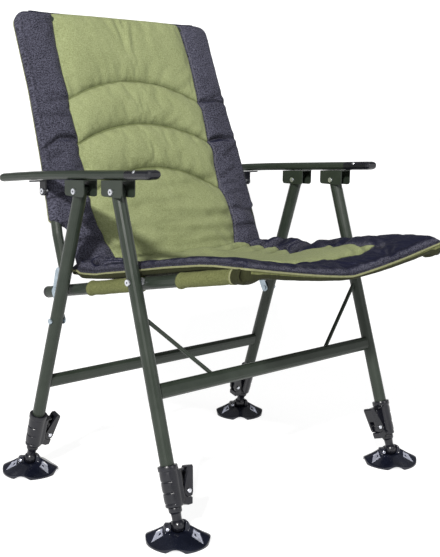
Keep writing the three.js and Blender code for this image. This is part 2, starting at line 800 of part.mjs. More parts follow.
function backTube(r, n) {
  // section frames from the plane of the U
  const path = backPath();
  const up = V(0, -0.94, 0.34);
  return sweep(circle(r, n), path, up);
}
{
  let tube = backTube(BACK_R, 16);
  for (const side of [-1, 1])
    tube = tube
      .subtract(crossPin(...BACK_PIVOT, side * 235, side * 280, 3.75))
      .subtract(crossPin(...ARM_PIVOT_B, side * 235, side * 280, 3.95));
  add("back_frame", tube, "frame_paint");

  // padded panel with a sleeve over the frame's upper part
  const PAD_LOW = 446;
  const PAD_TOP = 886;
  const SLEEVE_LOW = 488;
  const nrm = (z) => (z < BACK_BEND ? V(0, -0.9497, 0.3134) : V(0, -0.9317, 0.3633));
  const rings = [];
  for (const z of [PAD_LOW, 456, SLEEVE_LOW, 502, 545, 590, 640, 740, 830, 868, 880, PAD_TOP]) {
    const low = z <= SLEEVE_LOW;
    const round = z > 860 ? (z - 860) * 0.3 : 0;
    const half = (low ? 242 : backHalf(z) + 13) - round;
    const edge = z === PAD_TOP ? 0.35 : z === 880 ? 0.75 : z === PAD_LOW ? 0.6 : 1;
    const front = (low ? 12 : 22) * edge;
    const rear = (low ? 2 : -12) * edge;
    const c = V(0, backY(z), z);
    const n = nrm(z);
    const ring = [];
    const outline = [
      [-half, rear + (low ? 2 : 6)],
      [-half + 8, rear],
      [half - 8, rear],
      [half, rear + (low ? 2 : 6)],
      [half, front - (low ? 4 : 10)],
      [half - 14, front - 1],
      [half * 0.5, front],
      [0, front],
      [-half * 0.5, front],
      [-half + 14, front - 1],
      [-half, front - (low ? 4 : 10)],
    ];
    for (const [x, o] of outline) ring.push(c.clone().add(V(x, 0, 0)).addScaledVector(n, o));
    rings.push(ring);
  }
  let pad = loft(rings).subtract(backTube(BACK_R + 0.7, 16));
  for (const side of [-1, 1])
    pad = pad.subtract(crossPin(...ARM_PIVOT_B, side * 248, side * 275, 5.5));
  add("back_pad", pad, "green_fabric");
}

group.position.y = Y_SHIFT;
export default group;
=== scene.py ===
# Folding fishing armchair: looks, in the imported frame. Metres, +Z up, the
# chair faces -Y, +X is the sitter's left.
import json
import math

import bpy
import bmesh
import numpy as np
from mathutils import Matrix, Vector


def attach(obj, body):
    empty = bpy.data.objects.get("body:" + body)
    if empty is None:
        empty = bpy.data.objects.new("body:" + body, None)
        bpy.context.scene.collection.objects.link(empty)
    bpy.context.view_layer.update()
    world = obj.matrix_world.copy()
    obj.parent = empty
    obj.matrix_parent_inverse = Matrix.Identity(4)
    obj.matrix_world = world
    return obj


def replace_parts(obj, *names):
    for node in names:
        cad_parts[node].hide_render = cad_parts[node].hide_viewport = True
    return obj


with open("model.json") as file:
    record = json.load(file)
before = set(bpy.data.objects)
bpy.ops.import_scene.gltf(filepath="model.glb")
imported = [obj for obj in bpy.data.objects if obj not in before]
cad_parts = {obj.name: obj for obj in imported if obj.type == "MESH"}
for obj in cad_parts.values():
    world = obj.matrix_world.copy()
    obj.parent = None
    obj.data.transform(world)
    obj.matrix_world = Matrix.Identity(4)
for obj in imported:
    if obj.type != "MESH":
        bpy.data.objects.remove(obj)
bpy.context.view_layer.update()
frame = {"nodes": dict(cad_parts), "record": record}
scene = bpy.context.scene
nodes = frame["nodes"]

# The measures below are in millimetres, in the frame that part.mjs draws in,
# before it is centred. SHIFT is that centring.
SHIFT = 10.037
MM = 0.001


def P(x, y, z):
    return Vector((x * MM, (y + SHIFT) * MM, z * MM))


def smooth(x, a, b):
    t = np.clip((np.asarray(x, float) - a) / (b - a), 0, 1)
    return t * t * (3 - 2 * t)


# ---------------------------------------------------------------- camera
def set_camera():
    az, pitch, roll = (math.radians(a) for a in (-43.98, 9.56, 0.98))
    d = Vector((-math.sin(az) * math.cos(pitch), math.cos(az) * math.cos(pitch), -math.sin(pitch)))
    right = Vector((math.cos(az), math.sin(az), 0))
    up = right.cross(d)
    r = right * math.cos(roll) + up * math.sin(roll)
    u = -right * math.sin(roll) + up * math.cos(roll)
    cam = bpy.data.cameras.new("camera")
    obj = bpy.data.objects.new("camera", cam)
    scene.collection.objects.link(obj)
    m = Matrix((r, u, -d)).transposed().to_4x4()
    m.translation = P(-1339.93, -1396.87, 707.28)
    obj.matrix_world = m
    cam.sensor_width = 36
    cam.sensor_fit = "AUTO"
    cam.lens = 1010.41 * 36 / 557
    cam.clip_end = 50
    cam.dof.use_dof = False
    scene.camera = obj


set_camera()


# ------------------------------------------------------------- materials
def srgb(r, g, b, tone=0.66):
    """A colour as it looks in the finished picture; tone allows for the strong light."""

    def lin(c):
        c /= 255
        return tone * (c / 12.92 if c <= 0.04045 else ((c + 0.055) / 1.055) ** 2.4)

    return (lin(r), lin(g), lin(b), 1)


class Nodes:
    """Short names for building a node tree."""

    def __init__(self, name):
        self.material = bpy.data.materials.new(name)
        self.material.use_nodes = True
        self.tree = self.material.node_tree
        self.tree.nodes.clear()
        self.out = self.tree.nodes.new("ShaderNodeOutputMaterial")
        self.bsdf = self.add("BsdfPrincipled")
        self.link(self.bsdf.outputs[0], self.out.inputs[0])

    def add(self, kind, **props):
        node = self.tree.nodes.new("ShaderNode" + kind)
        for k, v in props.items():
            setattr(node, k, v)
        return node

    def link(self, a, b):
        self.tree.links.new(a, b)

    def put(self, socket, value):
        if hasattr(value, "is_output") or hasattr(value, "links"):
            self.link(value, socket)
        else:
            socket.default_value = value

    def math(self, op, a, b=0.0, c=None, clamp=False):
        n = self.add("Math", operation=op, use_clamp=clamp)
        self.put(n.inputs[0], a)
        self.put(n.inputs[1], b)
        if c is not None:
            self.put(n.inputs[2], c)
        return n.outputs[0]

    def ramp(self, value, lo, hi, a=0.0, b=1.0, smooth_step=False):
        n = self.add("MapRange", interpolation_type="SMOOTHSTEP" if smooth_step else "LINEAR")
        self.put(n.inputs["Value"], value)
        n.inputs["From Min"].default_value = lo
        n.inputs["From Max"].default_value = hi
        n.inputs["To Min"].default_value = a
        n.inputs["To Max"].default_value = b
        return n.outputs[0]

    def mix(self, factor, a, b, mode="MIX"):
        n = self.add("Mix", data_type="RGBA", blend_type=mode)
        self.put(n.inputs[0], factor)
        self.put(n.inputs[6], a)
        self.put(n.inputs[7], b)
        return n.outputs[2]

    def noise(self, vector, scale, detail=2.0, rough=0.5, lacunarity=2.0):
        n = self.add("TexNoise")
        if vector is not None:
            self.link(vector, n.inputs["Vector"])
        n.inputs["Scale"].default_value = scale
        n.inputs["Detail"].default_value = detail
        n.inputs["Roughness"].default_value = rough
        return n.outputs["Fac"]

    def mapped(self, vector, scale=(1, 1, 1), rot=(0, 0, 0)):
        n = self.add("Mapping")
        self.link(vector, n.inputs["Vector"])
        n.inputs["Scale"].default_value = scale
        n.inputs["Rotation"].default_value = rot
        return n.outputs[0]

    def object_coords(self):
        return self.add("TexCoord").outputs["Object"]

    def attribute(self, name, fac=False):
        n = self.add("Attribute", attribute_name=name)
        return n.outputs["Fac" if fac else "Vector"]

    def bump(self, height, strength, distance, normal=None):
        n = self.add("Bump")
        self.link(height, n.inputs["Height"])
        n.inputs["Strength"].default_value = strength
        n.inputs["Distance"].default_value = distance
        if normal is not None:
            self.link(normal, n.inputs["Normal"])
        return n.outputs[0]


def cloth_shader(n, coords, look):
    """Colour and height of one woven cloth. coords are in millimetres on the cloth."""
    base, light, dark, pitch, heather = look
    xyz = n.add("SeparateXYZ")
    n.link(coords, xyz.inputs[0])
    u, v = xyz.outputs[0], xyz.outputs[1]
    k = 2 * math.pi / pitch
    wu = n.math("SINE", n.math("MULTIPLY", u, k))
    wv = n.math("SINE", n.math("MULTIPLY", v, k))
    # over-and-under threads: high where the crossing flips
    cross = n.math("MULTIPLY", wu, wv)
    weave = n.ramp(cross, -1, 1)
    # slubs that run along one thread or the other
    slub_u = n.noise(n.mapped(coords, (0.10, 1.1, 1)), 1.0, 3.0, 0.7)
    slub_v = n.noise(n.mapped(coords, (1.1, 0.10, 1)), 1.0, 3.0, 0.7)
    speck = n.noise(n.mapped(coords, (0.42, 0.42, 0.42)), 1.0, 5.0, 0.8)
    patch = n.noise(n.mapped(coords, (0.011, 0.011, 0.011)), 1.0, 3.0, 0.6)
    tone = n.math("ADD", n.math("MULTIPLY", slub_u, 0.45), n.math("MULTIPLY", slub_v, 0.55))
    fleck = n.noise(n.mapped(coords, (0.21, 0.27, 0.21)), 1.0, 3.0, 0.75)
    tone = n.math("ADD", tone, n.math("MULTIPLY", n.math("SUBTRACT", speck, 0.5), heather))
    tone = n.math("ADD", tone, n.math("MULTIPLY", n.math("SUBTRACT", fleck, 0.5), 0.3 * heather))
    color = n.mix(n.ramp(tone, 0.34, 0.66), dark, light)
    color = n.mix(0.3, color, base)
    color = n.mix(n.math("MULTIPLY", weave, 0.22), color, dark)
    color = n.mix(n.ramp(patch, 0.35, 0.65, 0.0, 0.16), color, light)
    height = n.math("ADD", n.math("MULTIPLY", cross, 0.5), n.math("MULTIPLY", tone, 0.8))
    return color, height


GREEN = (srgb(148, 156, 110), srgb(182, 190, 144), srgb(112, 120, 76), 1.5, 0.9)
GREY = (srgb(32, 32, 44), srgb(112, 112, 130), srgb(5, 5, 12), 1.7, 2.7)
OLIVE = (srgb(106, 110, 68), srgb(138, 142, 96), srgb(74, 78, 42), 1.2, 0.8)
# painted shade: a darker copy of the olive cloth, for the underside and lower side band that lie in shade
UNDER_SHADE = (srgb(50, 52, 32), srgb(62, 64, 40), srgb(36, 38, 22), 1.2, 0.4)
LIME = (srgb(146, 148, 110), srgb(170, 172, 132), srgb(112, 114, 78), 1.0, 0.3)


def shade_facing_up(n, color):
    """Painted shade: the dark cloth turns blue-black where it faces up, as the top of the seat does under the low
    frontal light.
    """
    normal = n.add("SeparateXYZ")
    n.link(n.add("TexCoord").outputs["Normal"], normal.inputs[0])
    return n.mix(n.ramp(normal.outputs[2], 0.78, 0.96, 0.0, 0.96), color, srgb(13, 16, 44))


def finish_cloth(n, color, height, rough=0.92, fuzz=0.03, depth=0.00035):
    n.put(n.bsdf.inputs["Base Color"], color)
    n.bsdf.inputs["Roughness"].default_value = rough
    n.bsdf.inputs["Specular IOR Level"].default_value = 0.12
    n.bsdf.inputs["Sheen Weight"].default_value = fuzz
    n.bsdf.inputs["Sheen Roughness"].default_value = 0.3
    n.link(n.bump(height, 0.55, depth), n.bsdf.inputs["Normal"])
    return n.material


def plain_cloth(name, look):
    n = Nodes(name)
    coords = n.attribute("cloth")
    return finish_cloth(n, *cloth_shader(n, coords, look))


def two_tone_cloth(name, inner, outer):
    """Two cloths sewn together where the attribute panel changes sign, with a
    stitched line beside the join and beside each quilting line."""
    n = Nodes(name)
    coords = n.attribute("cloth")
    ca, ha = cloth_shader(n, coords, inner)
    cb, hb = cloth_shader(n, coords, outer)
    # painted shade on the dark cloth's upward faces
    cb = shade_facing_up(n, cb)
    panel = n.attribute("panel", fac=True)
    side = n.ramp(panel, -0.25, 0.25)
    color = n.mix(side, ca, cb)
    mixh = n.add("Mix", data_type="FLOAT")
    n.link(side, mixh.inputs[0])
    n.link(ha, mixh.inputs[2])
    n.link(hb, mixh.inputs[3])
    height = mixh.outputs[0]
    # the join itself: a fine dark crease
    # painted shade in the folds: the cloth is darkened along them, near black on the dark strips
    fold = n.math("MINIMUM", n.attribute("fold", fac=True), 1.0)
    color = n.mix(n.math("MULTIPLY", fold, 0.72), color, n.mix(side, srgb(62, 70, 34), srgb(8, 8, 16)))
    join = n.ramp(n.math("ABSOLUTE", panel), 0.0, 1.7, 1.0, 0.0, True)
    color = n.mix(n.math("MULTIPLY", join, 0.55), color, srgb(44, 46, 40))
    # quilting stitches: short threads in a needle-wide furrow
    seam = n.attribute("seam", fac=True)
    along = n.attribute("along", fac=True)
    furrow = n.ramp(seam, 0.0, 3.2, 1.0, 0.0, True)
    dash = n.ramp(n.math("SINE", n.math("MULTIPLY", along, 2 * math.pi / 3.4)), -0.5, 0.1)
    thread = n.math("MULTIPLY", n.ramp(seam, 0.25, 0.7, 1.0, 0.0), dash)
    # painted shade: the furrow is darkened where the seam pulls the cloth in
    color = n.mix(n.math("MULTIPLY", furrow, 0.62), color, srgb(52, 60, 26))
    color = n.mix(n.math("MULTIPLY", thread, 0.6), color, srgb(150, 160, 104))
    stitch = n.math("MULTIPLY", n.ramp(n.math("ABSOLUTE", n.math("SUBTRACT", panel, 3.4)), 0.25, 0.6, 1.0, 0.0),
                    n.ramp(n.math("SINE", n.math("MULTIPLY", along, 2 * math.pi / 3.0)), -0.5, 0.1))
    color = n.mix(n.math("MULTIPLY", stitch, 0.5), color, srgb(122, 122, 132))
    height = n.math("SUBTRACT", height, n.math("MULTIPLY", join, 2.5))
    height = n.math("SUBTRACT", height, n.math("MULTIPLY", furrow, 2.0))
    height = n.math("ADD", height, n.math("MULTIPLY", thread, 1.6))
    height = n.math("ADD", height, n.math("MULTIPLY", stitch, 1.2))
    return finish_cloth(n, color, height)


def paint(name, base, high, low, rough=0.34):
    """Powder coat: a fine pebbled skin, a little duller and dustier in places."""
    n = Nodes(name)
    co = n.object_coords()
    pebble = n.noise(co, 1500, 2.0, 0.55)
    cloud = n.noise(co, 22, 4.0, 0.6)
    scuff = n.noise(n.mapped(co, (1, 1, 0.25)), 160, 5.0, 0.72)
    color = n.mix(n.ramp(cloud, 0.35, 0.68, 0.0, 0.55), base, high)
    color = n.mix(n.ramp(pebble, 0.45, 0.62, 0.0, 0.3), color, low)
    color = n.mix(n.ramp(scuff, 0.66, 0.74, 0.0, 0.22), color, high)
    n.put(n.bsdf.inputs["Base Color"], color)
    n.put(n.bsdf.inputs["Roughness"], n.ramp(cloud, 0.3, 0.7, rough - 0.05, rough + 0.1))
    n.bsdf.inputs["Metallic"].default_value = 0.0
    n.bsdf.inputs["Specular IOR Level"].default_value = 0.24
    n.bsdf.inputs["Coat Weight"].default_value = 0.06
    n.bsdf.inputs["Coat Roughness"].default_value = 0.3
    n.link(n.bump(pebble, 0.16, 0.0004), n.bsdf.inputs["Normal"])
    return n.material


def plastic(name, base, light, rough, grain=0.2, scale=900, with_painted_glint=False):
    n = Nodes(name)
    co = n.object_coords()
    fine = n.noise(co, scale, 3.0, 0.6)
    cloud = n.noise(co, 35, 3.0, 0.6)
    color = n.mix(n.ramp(cloud, 0.35, 0.7, 0.0, 0.6), base, light)
    roughness = n.ramp(cloud, 0.3, 0.7, rough - 0.04, rough + 0.08)
    if with_painted_glint:
        # painted highlight: near-white, half-metallic, smoother patches where the glint attribute is 1, in the mud
        # feet's sunk windows
        bright = n.attribute("painted_glint", fac=True)
        color = n.mix(bright, color, srgb(214, 218, 236, 1))
        roughness = n.math("MULTIPLY", roughness, n.ramp(bright, 0, 1, 1.0, 0.6))
        n.put(n.bsdf.inputs["Metallic"], n.math("MULTIPLY", bright, 0.75))
    n.put(n.bsdf.inputs["Base Color"], color)
    n.put(n.bsdf.inputs["Roughness"], roughness)
    n.bsdf.inputs["Specular IOR Level"].default_value = 0.45
    n.link(n.bump(fine, grain, 0.0003), n.bsdf.inputs["Normal"])
    return n.material


def metal(name, base, dark, rough, brushed=1.0):
    n = Nodes(name)
    co = n.object_coords()
    grain = n.noise(n.mapped(co, (30, 700, 30)), 4.0, 4.0, 0.6)
    bloom = n.noise(co, 120, 4.0, 0.65)
    color = n.mix(n.ramp(bloom, 0.4, 0.68, 0.0, 0.6), base, dark)
    n.put(n.bsdf.inputs["Base Color"], color)
    n.bsdf.inputs["Metallic"].default_value = 0.9
    n.put(n.bsdf.inputs["Roughness"], n.ramp(bloom, 0.3, 0.7, rough - 0.06, rough + 0.12))
    n.link(n.bump(grain, 0.08 * brushed, 0.0002), n.bsdf.inputs["Normal"])
    return n.material


MAT = {
    "frame_paint": paint("frame_paint", srgb(46, 54, 46), srgb(60, 68, 60), srgb(31, 37, 30)),
    "black_plastic": plastic("black_plastic", srgb(18, 19, 26), srgb(30, 31, 40), 0.26, 0.04),
    "foot_plastic": plastic("foot_plastic", srgb(18, 21, 34), srgb(32, 36, 52), 0.22, 0.05, 500, True),
    "foot_polish": metal("foot_polish", srgb(222, 226, 240, 1), srgb(204, 208, 226, 1), 0.2, 0.2),
    "zinc": metal("zinc", srgb(176, 190, 200, 0.9), srgb(132, 146, 156, 0.9), 0.36),
    "rivet_steel": metal("rivet_steel", srgb(214, 216, 222, 1), srgb(176, 180, 188, 1), 0.28, 0.5),
    "olive_fabric": plain_cloth("olive_fabric", OLIVE),
    "lime_piping": plain_cloth("lime_piping", LIME),
    "underside_shade_fabric": plain_cloth("underside_shade_fabric", UNDER_SHADE),
    "dark_binding": plain_cloth("dark_binding", (srgb(24, 26, 40), srgb(40, 42, 58), srgb(14, 15, 26), 1.0, 0.4)),
    "pad_fabric": two_tone_cloth("pad_fabric", GREEN, GREY),
}

for name, obj in nodes.items():
    row = next(s for s in frame["record"]["subparts"] if s["node"] == name)
    slot = row["material_slot"]
    look = {"green_fabric": "pad_fabric", "dark_fabric": "pad_fabric"}.get(slot, slot)
    obj.data.materials.clear()
    obj.data.materials.append(MAT[look])
    # rounded edges and even shading; the solid itself isn't touched
    if slot not in ("green_fabric", "dark_fabric", "olive_fabric"):
        bevel = obj.modifiers.new("edge", "BEVEL")
        bevel.width = 0.0010 if name.startswith("lever_") else 0.0006
        bevel.segments = 3 if name.startswith("lever_") else 2
        bevel.limit_method = "ANGLE"
        bevel.angle_limit = math.radians(40)
        bevel.harden_normals = False


# ------------------------------------------------------------ mesh helpers
def new_object(name, verts, faces, materials, face_material=None, smooth_faces=True, attrs=None):
    me = bpy.data.meshes.new(name)
    me.from_pydata([tuple(v) for v in verts], [], faces)
    me.update()
    for m in materials:
        me.materials.append(m)
    if face_material is not None:
        me.polygons.foreach_set("material_index", np.asarray(face_material, np.int32))
    me.polygons.foreach_set("use_smooth", np.full(len(me.polygons), smooth_faces))
    for key, values in (attrs or {}).items():
        values = np.asarray(values, np.float32)
        if values.ndim == 1:
            me.attributes.new(key, "FLOAT", "POINT").data.foreach_set("value", values)
        else:
            me.attributes.new(key, "FLOAT_VECTOR", "POINT").data.foreach_set("vector", values.ravel())
    obj = bpy.data.objects.new(name, me)
    scene.collection.objects.link(obj)
    return obj


def grid_faces(rows, cols, start=0, flip=False, wrap=False):
    faces = []
    last = cols if wrap else cols - 1
    for i in range(rows - 1):
        for j in range(last):
            a = start + i * cols + j
            b = start + i * cols + (j + 1) % cols
            c, d = b + cols, a + cols
            faces.append((a, d, c, b) if flip else (a, b, c, d))
    return faces


def subdivide(obj, levels=1):
    mod = obj.modifiers.new("subdivision", "SUBSURF")
    mod.levels = mod.render_levels = levels
    mod.uv_smooth = "NONE"
    apply_modifiers(obj)


def apply_modifiers(obj):
    depsgraph = bpy.context.evaluated_depsgraph_get()
    done = bpy.data.meshes.new_from_object(obj.evaluated_get(depsgraph), depsgraph=depsgraph)
    obj.modifiers.clear()
    old = obj.data
    obj.data = done
    bpy.data.meshes.remove(old)


def inflate(verts, faces, pins, frames=16, pressure=3.0, grow=0.03, cap=9.0, stiff=12.0, bend=0.6):
    """Blows the loose cloth of a pad outwards with Blender's Cloth. verts in
    millimetres; pins is 1 where a stitch holds the cloth. Returns new verts."""
    me = bpy.data.meshes.new("cloth")
    me.from_pydata([tuple(v * MM) for v in verts], [], faces)
    me.update()
    obj = bpy.data.objects.new("cloth", me)
    scene.collection.objects.link(obj)
    group = obj.vertex_groups.new(name="pins")
    for i, w in enumerate(pins):
        if w > 0.001:
            group.add([i], float(w), "REPLACE")
    mod = obj.modifiers.new("cloth", "CLOTH")
    s = mod.settings
    s.quality = 6
    s.mass = 0.25
    s.tension_stiffness = s.compression_stiffness = stiff
    s.shear_stiffness = 4
    s.bending_stiffness = bend
    s.air_damping = 1.5
    s.tension_damping = s.compression_damping = s.shear_damping = 8
    s.vertex_group_mass = "pins"
    s.pin_stiffness = 2
    s.shrink_min = -grow
    s.use_pressure = True
    s.uniform_pressure_force = pressure
    s.effector_weights.gravity = 0
    mod.collision_settings.use_collision = False
    mod.point_cache.frame_start = 1
    mod.point_cache.frame_end = frames
    for f in range(1, frames + 1):
        scene.frame_set(f)
    depsgraph = bpy.context.evaluated_depsgraph_get()
    ev = obj.evaluated_get(depsgraph)
    out = np.empty(len(verts) * 3)
    ev.data.vertices.foreach_get("co", out)
    out = out.reshape(-1, 3) / MM
    scene.frame_set(1)
    bpy.data.objects.remove(obj)
    move = out - verts
    length = np.linalg.norm(move, axis=1)
    limit = cap * np.tanh(length / cap)
    return verts + move * (limit / np.maximum(length, 1e-9))[:, None]


def wobble(x, y, seed=0.0, octaves=4, scale=60.0):
    """A smooth, repeatable bumpy field of about -1 to 1."""
    x, y = np.asarray(x, float), np.asarray(y, float)
    total = np.zeros(np.broadcast(x, y).shape)
    amp = 1.0
    for k in range(octaves):
        f = 2 ** k / scale
        a = seed * 1.7 + k * 2.399
        total = total + amp * np.sin(2 * math.pi * f * (x * math.cos(a) + y * math.sin(a)) + seed * 5.1 + k * 1.3 + 1.6 * np.sin(2 * math.pi * f * 0.61 * (y * math.cos(a * 1.3) - x * math.sin(a * 1.3)) + seed + k))
        amp *= 0.55
    return total / 2.0


def spacing(n, ends=0.5):
    """n + 1 stations from 0 to 1, closer together at both ends."""
    i = np.arange(n + 1) / n
    return (1 - ends) * i + ends * (0.5 - 0.5 * np.cos(np.pi * i))


def pillow_edge(d, radius):
    """0 at the outline, 1 one radius in from it, on a quarter circle."""
    t = np.clip(d / radius, 0, 1)
    return np.sqrt(np.clip(1 - (1 - t) ** 2, 0, 1))


# ------------------------------------------------------------- backrest pad
BACK_BOTTOM, BACK_TOP, BACK_CORNER = 398.0, 886.0, 27.0


def back_y(z):
    z = np.asarray(z, float)
    return 143 + 0.33 * (np.minimum(z, 600) - 402) + 0.39 * np.maximum(z - 600, 0)


def back_slope(z):
    return 0.33 + 0.06 * smooth(z, 570, 630)


def tube_half(z):
    z = np.asarray(z, float)
    mid = 256.5 - 19.5 * np.clip((z - 470) / 270, 0, 1) ** 0.85
    return np.where(z < 740, mid, 236.5 + 0.5 * np.clip((872 - z) / 132, 0, 1))


def back_width(h):
    """Half the pad's width: over the tube above the sleeve's mouth, between the tubes below it."""
    h = np.asarray(h, float)
    over = tube_half(h) + 12.8
    w = 243.5 + (over - 243.5) * smooth(h, 478, 497)
    low = 10 * (1 - pillow_edge(h - BACK_BOTTOM, 14))
    t = np.clip(h - (BACK_TOP - BACK_CORNER), 0, BACK_CORNER)
    corner = BACK_CORNER - np.sqrt(np.clip(BACK_CORNER ** 2 - t ** 2, 0, None))
    return w - corner - low


def back_panel(h):
    """Half the width of the light centre panel: it swells below each seam."""
    return np.interp(
        h,
        [405, 425, 445, 480, 512, 530, 545, 585, 612, 630, 645, 680, 700, 716, 730, 765, 815, 870, 886],
        [158, 164, 172, 179, 179, 174, 173, 173, 178, 173, 171, 174, 175, 170, 170, 172.5, 172, 167, 164],
    )


def seam_line(k, x):
    top, drop = ((398.0, 0.0), (583.0, 48.0), (670.0, 37.5), (756.0, 39.0), (886.0, 0.0))[k]
    if k in (0, 4):
        return np.full_like(np.asarray(x, float), BACK_BOTTOM if k == 0 else BACK_TOP)
    ax = np.abs(x)
    inner = top - drop * np.minimum(ax / 171.0, 1) ** 2
    e = np.clip((ax - 171) / 78.0, 0, 1)
    return inner + 7 * np.sin(np.pi * e) - 3 * e


def back_point(x, h, off):
    s = back_slope(h)
    k = 1 / np.sqrt(1 + s * s)
    return np.stack([x, back_y(h) - off * k, h + off * k * s], axis=-1)


def back_forward(x, h):
    """How far the pad leaves the plane of the tubes, towards the sitter."""
    f = np.interp(h, [400, 425, 450, 480, 505, 530, 555], [26, 24, 20, 14.5, 8, 2.5, 0])
    between = 1 - smooth(np.abs(x), tube_half(h) - 70, tube_half(h) - 18)
    return f * np.where(h < 476, 1.0, between + (1 - between) * (1 - smooth(h, 476, 500)))


def build_back_pad():
    rows_t, keys = [], 4
    counts = (34, 20, 20, 28)
    for k, n in enumerate(counts):
        for i, t in enumerate(spacing(n, 0.55)):
            if i == n and k < keys - 1:
                continue
            rows_t.append((k, t))
    half_in = spacing(32, 0.35)
    half_out = spacing(20, 0.6)[1:]
    right = [("in", a) for a in half_in] + [("out", e) for e in half_out]
    cols = [(kind, a, -1) for kind, a in reversed(right)][:-1] + [(kind, a, 1) for kind, a in right]
    R, C = len(rows_t), len(cols)
    X, H, T, K = (np.zeros((R, C)) for _ in range(4))
    for i, (k, t) in enumerate(rows_t):
        for j, (kind, a, sgn) in enumerate(cols):
            # x depends on the height and the height on x: settle by repetition
            h = 398 + (886 - 398) * (i / (R - 1))
            x = 0.0
            for _ in range(6):
                xb, w = float(back_panel(h)), float(back_width(h))
                xb = min(xb, w - 6)
                x = sgn * (a * xb if kind == "in" else xb + (w - xb) * a)
                h = float(seam_line(k, np.array(x)) * (1 - t) + seam_line(k + 1, np.array(x)) * t)
            X[i, j], H[i, j], T[i, j], K[i, j] = x, h, t, k
    W, XB = back_width(H), back_panel(H)
    AX = np.abs(X)
    inner = np.clip(1 - (AX / XB) ** 5, 0, 1) ** 0.6
    puff = (1 - np.abs(2 * T - 1) ** 2.6)
    puff = np.clip(puff, 0, 1) ** 0.62
    # the lowest and the highest cell have a free edge on one side
    puff = np.where(K == 0, np.clip(1 - T ** 3.2, 0, 1) ** 0.6, puff)
    puff = np.where(K == 3, np.clip(1 - (1 - T) ** 3.2, 0, 1) ** 0.6, puff)
    core = 7.0 + 12.5 * inner * puff
    e = np.clip((AX - XB) / np.maximum(W - XB, 1), 0, 1)
    strip = 7.0 + 9.5 * np.clip(1 - np.abs(2 * np.minimum(e * 1.15, 1) - 1) ** 3, 0, 1) ** 0.6
    ridge = 2.2 * np.exp(-(((AX - tube_half(H)) / 9.0) ** 2))
    front = np.where(AX <= XB, core, np.maximum(strip, 12.4 * smooth(e, 0.35, 0.7)) + ridge)
    seam_d = np.full_like(X, 99.0)
    for k in (1, 2, 3):
        d = H - seam_line(k, X)
        seam_d = np.minimum(seam_d, np.abs(d))
        pinch = np.exp(-((d / 5.5) ** 2)) * np.where(AX > XB, (1 - smooth(e, 0.45, 0.8)), 0)
        front -= (5.0 if k == 2 else 3.4) * pinch
    seam_d = np.where(AX <= XB + 0.5, seam_d, 99.0)
    # ripples near the seat, where the cloth has slack
    for h0, depth, wide in ((476, 2.6, 7.0), (446, 3.0, 7.5), (423, 2.0, 6.0)):
        line = h0 + 5 * wobble(X, H, 3 + h0, 2, 180)
        front -= depth * np.exp(-(((H - line) / wide) ** 2)) * (0.55 + 0.45 * wobble(X, H, h0, 2, 120))
    # slack hanging from the middle of the top edge
    for x0, lean, depth, wide in ((-20, 0.10, 3.4, 6.5), (0, -0.16, 2.8, 6.0), (-46, 0.35, 1.8, 8.0), (60, -0.2, 1.2, 9.0)):
        line = x0 + lean * (886 - H)
        front -= depth * np.exp(-(((X - line) / wide) ** 2)) * smooth(H, 800, 850) * (1 - smooth(H, 872, 884))
        front += 0.8 * depth * np.exp(-(((X - line - 12) / (wide * 1.2)) ** 2)) * smooth(H, 800, 850) * (1 - smooth(H, 872, 884))
    front += 0.7 * wobble(X, H, 1.0, 4, 95) + 0.35 * wobble(X, H, 7.0, 3, 34)
    # distance to the outline
    d_side = W - AX
    d_top = BACK_TOP - H
    cx, cy = AX - (W + (BACK_CORNER - np.sqrt(np.clip(BACK_CORNER ** 2 - np.clip(H - (BACK_TOP - BACK_CORNER), 0, BACK_CORNER) ** 2, 0, None))) - BACK_CORNER), H - (BACK_TOP - BACK_CORNER)
    d_corner = np.where((cx > 0) & (cy > 0), BACK_CORNER - np.hypot(np.maximum(cx, 0), np.maximum(cy, 0)), 99)
    d = np.minimum(np.minimum(d_side, d_top), d_corner)
    edge = pillow_edge(d, 13.0) * pillow_edge(H - BACK_BOTTOM, 16.0)
    fwd = back_forward(X, H)
    front_pts = back_point(X, H, front * edge + fwd)
    rear = -11.6 - 0.9 * wobble(X, H, 12, 3, 150) * (1 - smooth(AX, 190, 225))
    rear = np.where(H < 480, -8.0, rear)
    rear_edge = pillow_edge(d, 6.5) * pillow_edge(H - BACK_BOTTOM, 14.0)
    rear_pts = back_point(X, H, rear * rear_edge + fwd)

    boundary = np.zeros((R, C), bool)
    boundary[0, :] = boundary[-1, :] = boundary[:, 0] = boundary[:, -1] = True
    # stitches hold the cloth at the seams, at the panel's edges and round the outline
    pins = np.clip(1 - seam_d / 1.2, 0, 1)
    pins = np.maximum(pins, np.clip(1 - np.abs(AX - XB) / 1.5, 0, 1))
    pins = np.maximum(pins, np.where(d < 6, 1.0, 0.0))
    pins = np.maximum(pins, np.where(AX > XB, 0.10 + 0.5 * smooth(e, 0.5, 0.85), 0.0))
    front_pts = inflate(
        front_pts.reshape(-1, 3), grid_faces(R, C), pins.ravel(), frames=16, pressure=2.5, grow=0.018, cap=6.0
    ).reshape(R, C, 3)

